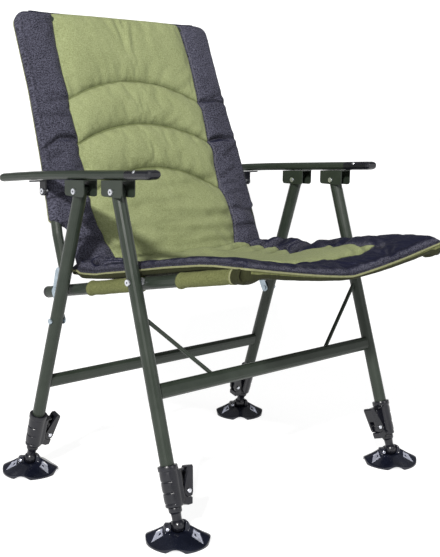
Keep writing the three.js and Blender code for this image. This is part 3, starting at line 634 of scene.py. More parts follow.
    # creases where the quilting pulls on the dark side strips: (share of the strip's width, height)
    lift = np.zeros((R, C))
    # fold: where painted shade darkens the cloth, in creases, at seams, in ripples and on the flanks
    fold = np.zeros((R, C))
    creases = (
        (-1, ((0, 641), (0.5, 645), (0.97, 624)), 5.2, 4.6),
        (-1, ((0, 681), (0.5, 684), (0.9, 682)), 2.2, 5.0),
        (-1, ((0, 717), (0.6, 711)), 2.4, 4.6),
        (-1, ((0.55, 612), (0.95, 606)), 2.6, 4.4),
        (-1, ((0, 536), (0.5, 541), (1, 532)), 4.0, 4.4),
        (-1, ((0.1, 588), (0.6, 574)), 2.4, 5.0),
        (1, ((0, 717), (0.55, 718), (1, 713)), 4.6, 4.0),
        (1, ((0.55, 726), (1, 735)), 3.6, 4.2),
        (1, ((0, 635), (0.5, 639), (1, 637)), 5.2, 4.4),
        (1, ((0.3, 600), (0.62, 612), (1, 627)), 4.0, 4.6),
        (1, ((0.05, 556), (0.55, 575)), 3.6, 4.8),
        (1, ((0, 491), (0.5, 486), (1, 481)), 4.2, 4.6),
        (1, ((0, 449), (1, 451)), 4.2, 4.6),
        (1, ((0.15, 520), (0.7, 527)), 1.8, 6.0),
        (-1, ((0, 489), (1, 482)), 3.4, 4.6),
        (-1, ((0, 447), (1, 450)), 3.6, 4.6),
    )
    for side, line, depth, wide in creases:
        at = np.array(line)
        d0 = H - np.interp(e, at[:, 0], at[:, 1]) + 1.4 * wobble(X, H, depth + side, 2, 40)
        reach = smooth(e, at[0, 0] - 0.10, at[0, 0] + 0.02) if at[0, 0] > 0 else 1.0
        reach = reach * (1 - smooth(e, at[-1, 0] - 0.04, at[-1, 0] + 0.12))
        reach = reach * ((AX > XB) & (X * side > 0)) * smooth(e, 0.0, 0.10)
        # shallower over the tube, which stands just below the cloth
        deep = depth * (1 - 0.45 * smooth(e, 0.5, 0.75))
        lift -= reach * deep * np.exp(-((d0 / wide) ** 2))
        fold += reach * min(1.0, depth / 4.5) * np.exp(-(((d0 - 0.25 * wide) / (0.62 * wide)) ** 2))
        lift += reach * 0.42 * depth * (np.exp(-(((d0 - 2.1 * wide) / (1.5 * wide)) ** 2)) + 0.7 * np.exp(-(((d0 + 2.1 * wide) / (1.5 * wide)) ** 2)))
    # the seams pull the light panel in, deepest in the middle
    for k in (1, 2, 3):
        d0 = H - seam_line(k, X)
        held = (1 - smooth(AX, XB - 6, XB + 1)) * (0.75 + 0.25 * wobble(X, H, k, 2, 90))
        lift -= held * 2.6 * np.exp(-((d0 / 5.0) ** 2))
        fold += held * 0.5 * np.exp(-(((d0 - 2.5) / 3.6) ** 2))
        lift += held * 1.0 * np.exp(-(((d0 - 14) / 9.0) ** 2))
        # short puckers across each seam
        lift += held * 0.55 * np.sin(X / 5.2 + 2.2 * np.sin(X / 31.0 + k)) * np.exp(-((d0 / 11.0) ** 2))
    # slack cloth in ripples above the seat
    for h0, tilt, depth, wide, x0, x1 in ((540, 0.12, 1.6, 9.0, -10, 170), (512, 0.05, 2.2, 9.0, -160, 60), (490, -0.10, 3.0, 7.0, -40, 175), (470, 0.06, 3.8, 7.0, -170, 170),
                                          (450, -0.05, 4.0, 6.5, -60, 175), (436, 0.04, 3.6, 6.0, -170, 60), (421, 0.0, 3.2, 6.0, -165, 165)):
        line = h0 + tilt * X + 4.0 * wobble(X, H, h0, 2, 110)
        on = smooth(X, x0 - 20, x0 + 20) * (1 - smooth(X, x1 - 20, x1 + 20)) * (1 - smooth(AX, XB - 10, XB))
        on = on * (0.7 + 0.3 * wobble(X, H, h0 + 5, 2, 70))
        lift += on * depth * (-np.exp(-(((H - line) / wide) ** 2)) + 0.7 * np.exp(-(((H - line - 1.9 * wide) / (1.2 * wide)) ** 2)))
        fold += on * 0.34 * np.exp(-(((H - line) / (0.8 * wide)) ** 2))
    # painted shade where the near and far flanks turn away over the tube
    fold += 0.55 * (AX > XB) * np.exp(-(((d - 6.5) / 2.6) ** 2)) * smooth(H, 520, 560) * (1 - smooth(H, 858, 872))
    # long soft folds that hang down the panel
    hang = (1 - smooth(AX, XB - 12, XB - 2)) * smooth(H, 470, 540) * (1 - smooth(H, 872, 884))
    lift += hang * 0.9 * wobble(X * 2.2, H * 0.55, 21.0, 3, 120)
    lift = np.where(d < 3.5, 0.0, lift)
    k0 = 1 / np.sqrt(1 + back_slope(H) ** 2)
    front_pts = front_pts + np.stack([0 * lift, -lift * k0, lift * k0 * back_slope(H)], axis=-1)

    verts = front_pts.reshape(-1, 3)
    index = np.arange(R * C).reshape(R, C)
    rear_index = index.copy()
    extra = []
    for i in range(R):
        for j in range(C):
            if not boundary[i, j]:
                rear_index[i, j] = R * C + len(extra)
                extra.append((i, j))
    ei = np.array([p[0] for p in extra])
    ej = np.array([p[1] for p in extra])
    verts = np.concatenate([verts, rear_pts[ei, ej]])
    faces, look = [], []
    for i in range(R - 1):
        for j in range(C - 1):
            faces.append((index[i, j], index[i, j + 1], index[i + 1, j + 1], index[i + 1, j]))
            look.append(0)
    for i in range(R - 1):
        for j in range(C - 1):
            a = (rear_index[i, j], rear_index[i + 1, j], rear_index[i + 1, j + 1], rear_index[i, j + 1])
            faces.append(a)
            deep = min(d[i, j], d[i + 1, j], d[i, j + 1], d[i + 1, j + 1])
            look.append(1 if deep > 5.5 else 0)
    flat = lambda a: np.concatenate([a.ravel(), a[ei, ej]])
    cloth = np.stack([flat(X), flat((H - 402) * 1.065), flat(H * 0)], axis=-1)
    panel = np.concatenate([(AX - XB).ravel(), np.full(len(extra), 60.0)])
    seam = np.concatenate([seam_d.ravel(), np.full(len(extra), 99.0)])
    fold = np.concatenate([fold.ravel(), np.zeros(len(extra))])
    pts = verts.copy()
    pts[:, 1] += SHIFT
    obj = new_object("back_cushion", pts * MM, [tuple(int(q) for q in f) for f in faces], [MAT["pad_fabric"], MAT["olive_fabric"]], look, attrs={"cloth": cloth, "panel": panel, "seam": seam, "fold": fold})
    subdivide(obj)
    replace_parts(obj, "back_pad")
    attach(obj, "backrest")

    # piping round the rear edge, from the lower corners over the top
    left = []
    for h in np.concatenate([np.linspace(412, 476, 14), np.linspace(480, 500, 8), np.linspace(510, BACK_TOP - BACK_CORNER, 40)]):
        left.append((float(back_width(h)) - 4.6, h, -10.2))
    for a in np.linspace(0.06, 0.5 * math.pi, 12):
        r = BACK_CORNER - 4.6
        left.append((float(tube_half(850)) + 12.8 - BACK_CORNER + r * math.cos(a), BACK_TOP - BACK_CORNER + r * math.sin(a), -10.2))
    path = [(x, h, o) for x, h, o in left] + [(x, left[-1][1], -10.2) for x in np.linspace(200, -200, 44)] + [(-x, h, o) for x, h, o in reversed(left)]
    pts = []
    for x, h, o in path:
        o2 = o if h >= 490 else -4.6
        q = back_point(np.array(x), np.array(h), np.array(o2 + float(back_forward(np.array(x), np.array(h)))))
        pts.append(q)
    piping("back_piping", pts, 2.1, "backrest")
    # the dark binding along the top edge
    pts = []
    for x in np.linspace(-214, 214, 90):
        reach = BACK_CORNER - math.sqrt(max(0.0, BACK_CORNER ** 2 - max(0.0, abs(x) - (float(tube_half(850)) + 12.8 - BACK_CORNER)) ** 2))
        pts.append(back_point(np.array(x), np.array(BACK_TOP - reach - 0.6), np.array(1.5 + 2.2 * math.exp(-((abs(x) - 205) / 16) ** 2))))
    piping("back_binding", pts, 1.7, "backrest", look="dark_binding")
    return obj


def piping(name, pts, radius, body, closed=False, look="lime_piping"):
    """A corded edge: a round cord in its cloth sleeve, swept along pts (mm)."""
    pts = np.array(pts, float)
    # even steps of about 3 mm
    loop = np.concatenate([pts, pts[:1]]) if closed else pts
    seg = np.linalg.norm(np.diff(loop, axis=0), axis=1)
    s = np.concatenate([[0], np.cumsum(seg)])
    n = max(8, int(s[-1] / 4.0))
    even = np.linspace(0, s[-1], n, endpoint=not closed)
    line = np.stack([np.interp(even, s, loop[:, k]) for k in range(3)], axis=-1)
    m = len(line)
    if closed:
        tangent = np.roll(line, -1, 0) - np.roll(line, 1, 0)
    else:
        tangent = np.gradient(line, axis=0)
    tangent /= np.linalg.norm(tangent, axis=1)[:, None]
    ref = np.array([0.31, 0.2, 0.93])
    verts, cloth = [], []
    sides = 10
    prev = None
    for i in range(m):
        t = tangent[i]
        u = (ref if prev is None else prev) - t * np.dot(ref if prev is None else prev, t)
        u /= np.linalg.norm(u)
        prev = u
        v = np.cross(t, u)
        r = radius * (1 + 0.05 * math.sin(i * 1.9) + 0.04 * math.sin(i * 0.73 + 1))
        for k in range(sides):
            a = 2 * math.pi * k / sides
            verts.append(line[i] + r * (math.cos(a) * u + math.sin(a) * v))
            cloth.append((i * 4.0, r * a, 0))
    faces = grid_faces(m, sides, wrap=True)
    if closed:
        for k in range(sides):
            a, b = (m - 1) * sides + k, (m - 1) * sides + (k + 1) % sides
            faces.append((a, b, (k + 1) % sides, k))
    else:
        faces.append(tuple(range(sides))[::-1])
        faces.append(tuple((m - 1) * sides + k for k in range(sides)))
    verts = np.array(verts)
    verts[:, 1] += SHIFT
    obj = new_object(name, verts * MM, faces, [MAT[look]], attrs={"cloth": cloth})
    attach(obj, body)
    return obj


back_cushion = build_back_pad()


# ----------------------------------------------------------------- seat pad
SEAT_W, SEAT_REAR = 263.0, 119.0


def seat_front(x):
    """The front hem: drawn back in the middle, where it sags."""
    return -333.5 - 7.0 * np.clip(np.abs(np.asarray(x, float)) / SEAT_W, 0, 1) ** 2


def seat_axis(y):
    return 412.5 - 0.1926 * (np.asarray(y, float) + 97.2)


def seat_piping(y):
    return np.interp(y, [-348, -312, -270, -235, -150, -60, 0, 40, 72, 86, 94, 119], [8, 13, 19, 22, 24.5, 24.5, 25, 26, 27.5, 29.5, 35.5, 38.5])


def seat_crest(y):
    return np.interp(y, [-348, -330, -312, -278, -235, -195, -41, 3, 49, 81, 119], [9, 17, 23, 29, 34, 37, 38, 39, 42, 47, 50])


def seat_sag(x, y):
    depth = np.interp(y, [-348, -300, -250, -180, -90, 0, 60, 119], [39, 36, 33, 31, 26, 17, 9, 2])
    power = np.interp(y, [-348, -300, -250, 119], [1.12, 1.5, 1.9, 2.1])
    return depth * (1 - np.clip(np.abs(x) / SEAT_W, 0, 1) ** power)


def seat_width(y, front):
    """Half the width; front is the distance in from the front hem."""
    y = np.asarray(y, float)
    r, q = 9.0, 12.0
    f = np.clip(r - front, 0, r)
    b = np.clip(y - (SEAT_REAR - q), 0, q)
    return SEAT_W - (r - np.sqrt(r * r - f * f)) - (q - np.sqrt(q * q - b * b))


def build_seat_pad():
    border = 84.0  # the dark band at the front
    panel_half = 176.0
    # rows: the distance in from the front hem, then on to the back edge
    rows_v = np.concatenate([border * spacing(20, 0.6)[:-1], border + (SEAT_REAR + 340.5 - border) * spacing(64, 0.25)])
    right = np.concatenate([spacing(34, 0.3) * 1.0, 1 + spacing(24, 0.6)[1:]])
    u = np.concatenate([-right[::-1][:-1], right])
    R, C = len(rows_v), len(u)
    V = np.repeat(rows_v[:, None], C, axis=1)
    U = np.repeat(u[None, :], R, axis=0)
    AU = np.abs(U)
    # the front hem bows; the rows even out towards the back
    full = SEAT_REAR + 340.5

    def place(x):
        f = seat_front(x)
        return f + V * (SEAT_REAR - f) / full

    X = U * 0
    for _ in range(4):
        Y = place(X)
        Wd = seat_width(Y, V)
        PH = np.minimum(panel_half + 4 * np.sin((Y + 250) / 62.0), Wd - 10)
        PH = PH - 46 * np.exp(-(((Y + 74) / 42.0) ** 2)) * (U > 0)
        X = np.sign(U) * np.where(AU <= 1, AU * PH, PH + (Wd - PH) * (AU - 1))
    Y = place(X)
    AX = np.abs(X)
    # one front corner of the slack cloth hangs back a little
    Y = Y + 5.5 * smooth(X, 120, 255) * smooth(-Y, 250, 335)
    # the front band's edge waves a little
    YB = border + 4 * np.sin(X / 24.0 + 0.6) + 2.2 * np.sin(X / 11.0)
    inside = np.minimum(PH - AX, V - YB)  # above 0 in the light panel
    d = np.minimum(np.minimum(Wd - AX, V), SEAT_REAR - Y)
    for sx in (-1, 1):
        for r, e in ((9.0, V), (12.0, SEAT_REAR - Y)):
            ax, ay = sx * X - (SEAT_W - r), r - e
            m = (ax > 0) & (ay > 0)
            d = np.where(m, np.minimum(d, r - np.hypot(np.maximum(ax, 0), np.maximum(ay, 0))), d)
    d = np.maximum(d, 0)
    sag = seat_sag(X, Y)
    axis = seat_axis(Y)
    pipe = seat_piping(Y)
    crest = seat_crest(Y) + 4.0
    crest += 3.0 * wobble(X, Y, 2.0, 3, 130) * smooth(Y, -60, 60)
    edge = pillow_edge(d, 24.0)
    top = axis - sag + pipe + (crest - pipe) * edge
    # sewn joins sit lower than the cloth between them
    groove = np.exp(-((inside / 7.0) ** 2))
    top -= 4.5 * groove * smooth(d, 0, 22)
    # waves of slack cloth towards the back and across the far side
    fold = smooth(Y, -70, 60) * (1 - smooth(Y, 108, 119))
    top += fold * 1.3 * np.sin((Y + 0.22 * X) / 13.5) * (0.5 + 0.5 * wobble(X, Y, 5, 2, 150)) * smooth(AX, 60, 200)
    pulls = (
        (-20, 150, 0.5, 5.0, 9, 60), (30, 190, 0.25, 6.0, 9, 70), (70, 160, 0.1, 5.0, 8, 80), (-120, 205, 0.9, 3.0, 9, 60),
        (-215, 165, 1.2, 3.0, 8, 50), (50, -205, -0.35, 6.0, 8, 55), (86, -190, -0.1, 6.0, 8, 60), (15, -215, -0.8, 4.0, 8, 45),
        (-262, 60, 0.15, 2.4, 8, 70), (-268, -70, -0.2, 2.4, 8, 70), (-300, 150, 0.7, 2.6, 7, 40), (-298, -160, -0.6, 2.6, 7, 40),
        (-240, 120, 1.0, 2.2, 7, 35), (-236, -100, -1.1, 2.2, 7, 35),
        (-55, 185, 0.42, 8.0, 9, 80), (-8, 215, 0.30, 5.0, 8, 50), (66, 205, -0.2, 5.0, 7, 55), (64, -232, 0.5, 5.0, 6, 34), (40, -240, -0.5, 4.5, 6, 30), (92, -222, 0.3, 4.0, 6, 40),
        (-150, 188, 0.35, 3.0, 8, 50), (-262, 168, 0.9, 3.2, 7, 34), (-205, 232, 1.3, 2.4, 7, 34),
    )

    def creased(depth_of, at, wall):
        total = at * 0
        shade = at * 0
        for y0, x0, ang, depth, wide, long in pulls:
            dx, dy = X - x0, Y - y0
            along = dx * math.cos(ang) + dy * math.sin(ang)
            across = -dx * math.sin(ang) + dy * math.cos(ang) + 4 * np.sin(along / 19.0)
            reach = np.exp(-((along / long) ** 2)) * smooth(d, wall, wall + 18)
            total -= depth_of * depth * np.exp(-((across / wide) ** 2)) * reach
            total += 0.7 * depth_of * depth * np.exp(-(((across - 1.7 * wide) / wide) ** 2)) * reach
            shade += min(1.0, depth / 7.0) * np.exp(-((across / (0.6 * wide)) ** 2)) * reach
        return total, shade

    top += creased(1.0, X, 4)[0]
    # the far side humps up where the backrest pushes the seat's cloth together
    top += smooth(X, 170, 235) * (9.0 * np.exp(-(((Y - 42) / 34.0) ** 2)) - 5.0 * np.exp(-(((Y + 20) / 15.0) ** 2)))
    top += (0.8 * wobble(X, Y, 9, 4, 80) + 0.3 * wobble(X, Y, 4, 3, 30)) * smooth(d, 2, 20)
    pins = np.maximum(np.clip(1 - np.abs(inside) / 2.2, 0, 1), np.where(d < 6, 1.0, 0.05))
    top_pts = np.stack([X, Y, top], axis=-1)
    top_pts = inflate(top_pts.reshape(-1, 3), grid_faces(R, C), pins.ravel(), frames=16, pressure=2.0, grow=0.014, cap=4.0).reshape(R, C, 3)
    more, shade = creased(0.55, X, 6)
    top_pts[:, :, 2] += more
    # a hemmed ridge runs just inside the outline, with a dark gap below it
    ridge = np.exp(-(((d - 12.0) / 4.0) ** 2)) - 1.1 * np.exp(-(((d - 5.2) / 2.2) ** 2))
    top_pts[:, :, 2] += 1.3 * ridge
    # painted shade along the outline, inside the ridge and along the light panel's join
    shade += 0.95 * np.exp(-(((d - 1.7) / 1.4) ** 2)) + 0.6 * np.exp(-(((d - 15.5) / 2.4) ** 2)) + 0.35 * np.exp(-((inside / 5.0) ** 2))

    # underside: clear of the tubes, closing round their front ends
    wrap = smooth(-Y, 300, 307) * smooth(AX, 228, 240)
    under = np.minimum(14.8 + 0 * Y, pipe - 7)
    # at the rear corners the pad is thin and stands clear of the tubes
    under = under + (pipe - 9 - under) * smooth(Y, 0, 70) * smooth(AX, 150, 225)
    front_band = 7 + 7 * (AX / SEAT_W)
    under = under + (np.minimum(under, pipe - front_band) - under) * smooth(-Y, 312, 326)
    cup = np.interp(-Y, [300, 324.5, 333, 341, 350], [-12.7, -12.7, -10.5, -7.0, -5.0])
    under = under * (1 - wrap) + cup * wrap
    low = axis - sag + under
    low -= 5.0 * (1 - smooth(AX, 150, 240)) * smooth(d, 20, 70)
    low += 0.6 * wobble(X, Y, 21, 3, 90) * (1 - smooth(AX, 225, 240))
    low_edge = 1 - pillow_edge(d, 5.0)
    low = low + 2.5 * low_edge
    low_pts = np.stack([X * (1 - 0.004 * low_edge), Y, low], axis=-1)

    n = R * C
    top_i = np.arange(n).reshape(R, C)
    low_i = top_i + n
    verts = np.concatenate([top_pts.reshape(-1, 3), low_pts.reshape(-1, 3)])
    faces, look = [], []
    for i in range(R - 1):
        for j in range(C - 1):
            faces.append((top_i[i, j], top_i[i, j + 1], top_i[i + 1, j + 1], top_i[i + 1, j]))
            look.append(0)
            # the underside takes the darker olive copy, as painted shade
            faces.append((low_i[i, j], low_i[i + 1, j], low_i[i + 1, j + 1], low_i[i, j + 1]))
            look.append(2)
    ring = [(0, j) for j in range(C)] + [(i, C - 1) for i in range(1, R)] + [(R - 1, j) for j in range(C - 2, -1, -1)] + [(i, 0) for i in range(R - 2, 0, -1)]
    # the side band, with one row in the middle that stands a little proud
    mid = {}
    base = len(verts)
    extra = []
    for k, (i, j) in enumerate(ring):
        a, b = top_pts[i, j], low_pts[i, j]
        c = (a + b) / 2
        out = np.array([np.sign(X[i, j]) if AX[i, j] > Wd[i, j] - 1 else 0.0, -1.0 if i == 0 else (1.0 if i == R - 1 else 0.0), 0.0])
        extra.append(c + 1.6 * out / max(np.linalg.norm(out), 1))
        mid[(i, j)] = base + k
    verts = np.concatenate([verts, np.array(extra)])
    for k, p in enumerate(ring):
        q = ring[(k + 1) % len(ring)]
        faces.append((top_i[p], mid[p], mid[q], top_i[q]))
        faces.append((mid[p], low_i[p], low_i[q], mid[q]))
        # the side band's lower half, and all of it except at the front, takes the darker olive copy, as painted shade
        look += [1 if p[0] == 0 else 2, 2]
    flat2 = lambda a, b, c: np.concatenate([a.ravel(), b.ravel(), np.full(len(extra), c)])
    xs = np.concatenate([X.ravel(), X.ravel(), np.array([X[p] for p in ring])])
    ysv = np.concatenate([Y.ravel(), Y.ravel(), np.array([Y[p] for p in ring])])
    zs = verts[:, 2]
    cloth = np.stack([xs + 0.5 * (zs - 430) * (np.abs(xs) > 255), ysv * 1.02, 0 * xs], axis=-1)
    cloth[2 * n:, 0] += 3
    panel = flat2(-inside, np.full_like(X, 60.0), 60.0)
    seam = np.full(len(verts), 99.0)
    fold = flat2(shade, np.zeros_like(X), 0.0)
    pts = verts.copy()
    pts[:, 1] += SHIFT
    obj = new_object("seat_cushion", pts * MM, [tuple(int(v) for v in f) for f in faces], [MAT["pad_fabric"], MAT["olive_fabric"], MAT["underside_shade_fabric"]], look, attrs={"cloth": cloth, "panel": panel, "seam": seam, "fold": fold})
    bm = bmesh.new()
    bm.from_mesh(obj.data)
    bmesh.ops.recalc_face_normals(bm, faces=bm.faces)
    bm.to_mesh(obj.data)
    bm.free()
    subdivide(obj)
    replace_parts(obj, "seat_pad")
    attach(obj, "seat")
    line = []
    for i, j in ring:
        p = top_pts[i, j].copy()
        out = np.array([np.sign(X[i, j]) if AX[i, j] > Wd[i, j] - 1 else 0.0, -1.0 if i == 0 else (1.0 if i == R - 1 else 0.0), 0.0])
        line.append(p + 1.2 * out / max(np.linalg.norm(out), 1) + np.array([0, 0, -0.4]))
    piping("seat_piping", line, 1.75, "seat", closed=True)
    return obj


seat_cushion = build_seat_pad()


# ------------------------------------------------ loops round the seat tubes
SEAT_X = 256.5


def build_loop(name, side, y0, y1, waist=12.8, flare=0.8, look="olive_fabric", shut=False):
    """A hemmed cloth loop round the seat tube, slack between its hems."""
    rows, sides = max(6, int((y1 - y0) / 2.0)), 44
    outer, inner, cloth = [], [], []
    for i in range(rows + 1):
        y = y0 + (y1 - y0) * i / rows
        h = min(y - y0, y1 - y)
        hem = flare * math.exp(-((h / 9.0) ** 2)) + 0.5 * math.exp(-(((h - 3.0) / 3.2) ** 4))
        hem -= 0.5 * math.exp(-(((h - 7.5) / 1.0) ** 2))
        for k in range(sides):
            a = 2 * math.pi * k / sides
            slack = 0.45 * math.sin(3 * a + y / 15.0 + side) + 0.35 * math.sin(5 * a - y / 8.0) + 0.25 * math.sin(2 * a + y / 5.5)
            crease = -0.7 * math.exp(-(((math.sin(a + 0.8 + y / 90.0)) / 0.16) ** 2)) * (1 if math.cos(a + 0.8 + y / 90.0) * side < 0 else 0)
            r = waist + hem + (0.5 * slack + 0.6 * crease) * min(1.0, h / 9 + 0.35) + 0.4 * max(0.0, -math.sin(a)) ** 2
            outer.append((side * SEAT_X + r * math.cos(a), y, float(seat_axis(y)) + r * math.sin(a)))
            q = 11.5 if not shut else 11.3
            inner.append((side * SEAT_X + q * math.cos(a), y, float(seat_axis(y)) + q * math.sin(a)))
            cloth.append((y, r * a, 0))
    # outer rows one way, inner rows back, and round to the start
    order = [inner[i * sides:(i + 1) * sides] for i in range(rows, -1, -1)]
    verts = np.array(outer + [p for row in order for p in row])
    cloth = cloth + [cloth[i * sides + k] for i in range(rows, -1, -1) for k in range(sides)]
    total = 2 * (rows + 1)
    faces = grid_faces(total, sides, wrap=True)
    last = (total - 1) * sides
    faces += [(last + k, last + (k + 1) % sides, (k + 1) % sides, k) for k in range(sides)]
    verts[:, 1] += SHIFT
    obj = new_object(name, verts * MM, faces, [MAT[look]], attrs={"cloth": cloth})
    bm = bmesh.new()
    bm.from_mesh(obj.data)
    bmesh.ops.recalc_face_normals(bm, faces=bm.faces)
    bm.to_mesh(obj.data)
    bm.free()
    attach(obj, "seat")
    return obj


for tag, side in (("r", -1), ("l", 1)):
    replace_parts(build_loop("loop_rear_" + tag, side, -84, 59), "seat_loop_rear_" + tag)
    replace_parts(build_loop("loop_front_" + tag, side, -306, -183), "seat_loop_front_" + tag)
    # the pad's underside closing round the tube's front end, in the darker olive copy, as painted shade
    build_loop("loop_end_" + tag, side, -328.5, -307.5, 13.3, 0.2, "underside_shade_fabric")
    build_loop("loop_tab_" + tag, side, -310.5, -306.6, 13.4, 0.4, "lime_piping")


# ------------------------------------------------- clamps, legs and mud feet
def sharpen(obj, degrees=38):
    """Marks the edges sharper than this, so that the rest shades smoothly."""
    bm = bmesh.new()
    bm.from_mesh(obj.data)
    limit = math.radians(degrees)
    for e in bm.edges:
        if len(e.link_faces) == 2:
            e.smooth = e.calc_face_angle(0) < limit
    bm.to_mesh(obj.data)
    bm.free()


def soften(obj, width, segments=2, degrees=40):
    bevel = obj.modifiers.new("edge", "BEVEL")
    bevel.width = width * MM
    bevel.segments = segments
    bevel.limit_method = "ANGLE"
    bevel.angle_limit = math.radians(degrees)


class Leg:
    """A leg's own axes: origin at the ball, w up the leg, u to the chair's middle."""

    def __init__(self, side, front):
        py, pz = (-51.5, 565.5) if front else (54.0, 559.5)
        drop = pz - 27.0
        slope = 0.3095 if front else -0.3081
        self.ball = np.array([side * (283.6 + 5.2 / 516.6 * drop), py - slope * drop, 27.0])
        w = np.array([side * 283.6, py, pz]) - self.ball
        w /= np.linalg.norm(w)
        u = np.array([-side, 0, 0]) + w * side * w[0]
        u /= np.linalg.norm(u)
        self.axes = np.array([u, np.cross(w, u), w])

    def put(self, local):
        p = self.ball + np.asarray(local, float) @ self.axes
        p[:, 1] += SHIFT
        return p * MM


LEGS = {
    "front_r": Leg(-1, True),
    "front_l": Leg(1, True),
    "rear_r": Leg(-1, False),
    "rear_l": Leg(1, False),
}


def torus_body(loop, sides, reach=None):
    """Turns a closed profile of (radius, height); reach(az, r, h) may move the radius."""
    verts = []
    for r, h in loop:
        for k in range(sides):
            a = 2 * math.pi * k / sides
            q = r if reach is None else reach(a, r, h)
            verts.append((q * math.cos(a), q * math.sin(a), h))
    faces = grid_faces(len(loop), sides, wrap=True)
    last = (len(loop) - 1) * sides
    for k in range(sides):
        faces.append((last + k, last + (k + 1) % sides, (k + 1) % sides, k))
    return verts, [f[::-1] for f in faces]


def turned_body(profile, sides):
    """Turns an open profile whose two ends lie on the axis."""
    verts = [(0, 0, profile[0][1])]
    for r, h in profile[1:-1]:
        for k in range(sides):
            a = 2 * math.pi * k / sides
            verts.append((r * math.cos(a), r * math.sin(a), h))
    verts.append((0, 0, profile[-1][1]))
    rows = len(profile) - 2
    faces = [f for f in grid_faces(rows, sides, start=1, wrap=True)]
    for k in range(sides):
        faces.append((0, 1 + (k + 1) % sides, 1 + k))
        b = 1 + (rows - 1) * sides
        faces.append((len(verts) - 1, b + k, b + (k + 1) % sides))
    return verts, faces


def plate_body(outline, v0, v1):
    """A flat plate: outline in (u, w), from v0 to v1."""
    m = len(outline)
    verts = [(u, v0, w) for u, w in outline] + [(u, v1, w) for u, w in outline]
    faces = [tuple(range(m)), tuple(range(2 * m - 1, m - 1, -1))]
    for i in range(m):
        j = (i + 1) % m
        faces.append((j, i, m + i, m + j))
    return verts, faces


def joined(*bodies):
    verts, faces = [], []
    for v, f in bodies:
        k = len(verts)
        verts += [tuple(p) for p in v]
        faces += [tuple(i + k for i in face) for face in f]
    return verts, faces


def clamp_reach(a, r, h):
    """The clamp's outside: grip bands on the outer half, flat cheeks by the lever."""
    if r < 13.2:
        return r
    a = (a + math.pi) % (2 * math.pi) - math.pi
    outer = 1 - float(smooth(abs(abs(a) - math.pi), 0.95, 1.15))
    for g in (37.0, 55.5, 74.0):
        r -= 0.95 * outer * math.exp(-(((h - g) / 1.15) ** 4))
    for lo, hi in ((37.0, 55.5), (55.5, 74.0), (74.0, 90.0)):
        if lo < h < hi:
            r += 0.5 * outer * (1 - ((h - (lo + hi) / 2) / ((hi - lo) / 2)) ** 2)
    if 33.5 < h < 90.5 and abs(a) < math.pi / 2:
        lower = 15.4 - 6.0 * (1 - float(smooth(h, 33, 45)))
        box = min(lower / max(math.cos(a), 1e-3), 13.8 / max(abs(math.sin(a)), 1e-3))
        r = max(r, box)
    return r


def build_clamp(key, leg):
    loop = [(14.0, 31.0), (14.9, 32.0), (15.2, 33.4)]
    loop += [(15.2 + 0.5 * (h - 34) / 56, h) for h in np.arange(34.0, 90.3, 0.8)]
    loop += [(15.7, 90.8), (16.9, 91.6), (17.1, 93.0), (17.1, 98.6), (16.6, 99.8), (15.6, 100.2)]
    loop += [(12.5, 100.2), (12.45, 99.4), (12.45, 42.0), (10.3, 41.4), (10.2, 31.9), (10.8, 31.2)]
    collar = torus_body(loop, 72, clamp_reach)
    ear = plate_body([(10, 34), (26, 34), (32, 45), (33, 51), (31.5, 56), (25, 62), (24, 86), (10, 86)], -4.7, 4.7)
    arc = [(29 + 10.7 * math.cos(a), 51 + 10.7 * math.sin(a)) for a in np.radians(np.linspace(-74, -172, 12))]
    heel = plate_body([(11, 33), (17.5, 31.2), (22.5, 28.4), (31.6, 28.4), (33.9, 37.6), (33.9, 39.0)] + arc + [(11, 47)], -9.4, 9.4)
    stop = plate_body([(11, 87.2), (24.5, 87.2), (25.5, 90.2), (11, 90.2)], -11.5, 11.5)
    verts, faces = joined(collar, ear, heel, stop)
    obj = new_object("clamp_look_" + key, leg.put(verts), faces, [MAT["black_plastic"]])
    sharpen(obj, 34)
    soften(obj, 0.5, 2, 50)
    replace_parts(obj, "clamp_" + key)
    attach(obj, "front_frame" if "front" in key else "rear_frame")


def build_inner_leg(key, leg):
    profile = [(0, -12.2)]
    for i in range(1, 25):
        a = -math.pi / 2 + (math.pi / 2 + 0.82) * i / 24
        profile.append((12.2 * math.cos(a), 12.2 * math.sin(a)))
    profile += [(8.3, 10.2), (8.2, 12.0), (8.35, 15.0), (8.7, 19.0), (9.4, 20.8), (10.4, 21.8), (11.0, 22.4)]
    profile += [(11.3, 23.2), (11.4, 29.2), (10.9, 30.4), (9.8, 30.8), (9.6, 31.2), (9.6, 150.0), (9.6, 212.0), (0, 212.0)]
    verts, faces = turned_body(profile, 48)
    obj = new_object("inner_leg_look_" + key, leg.put(verts), faces, [MAT["black_plastic"]])
    sharpen(obj, 40)
    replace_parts(obj, "inner_leg_" + key)
    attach(obj, "inner_leg_" + key)


def foot_heights(r, az):
    """Height of the mud foot's top at radius r and azimuth az (degrees)."""
    rib = max(0.0, 0.5 + 0.5 * math.cos(math.radians(4 * (az - 45)))) ** 1.7
    off = abs((az - 225 + 180) % 360 - 180)
    front = 1 - float(smooth(off, 30, 60))
    valley = np.interp(r, [10, 14, 20, 25, 30, 35, 40, 45, 50, 53], [19, 19.3, 19.8, 17.6, 15.0, 12.5, 10.0, 7.6, 5.2, 3.6])
    side = np.interp(r, [10, 14, 20, 25, 30, 35, 40, 45, 50, 53], [30, 30, 28.2, 25.4, 22.6, 19.8, 17.2, 14.8, 12.4, 10.8])
    low = np.interp(r, [10, 14, 20, 25, 30, 35, 40, 45, 50, 53], [18.0, 18.6, 18.4, 17.5, 16.2, 14.8, 13.4, 12.0, 10.6, 9.6])
    return float(valley * (1 - rib) + (side * (1 - front) + low * front) * rib)


def foot_arch(az):
    d = abs((az - 45 + 45) % 90 - 45)
    return 7.4 * max(0.0, 1 - (d / 18.5) ** 2) ** 1.35


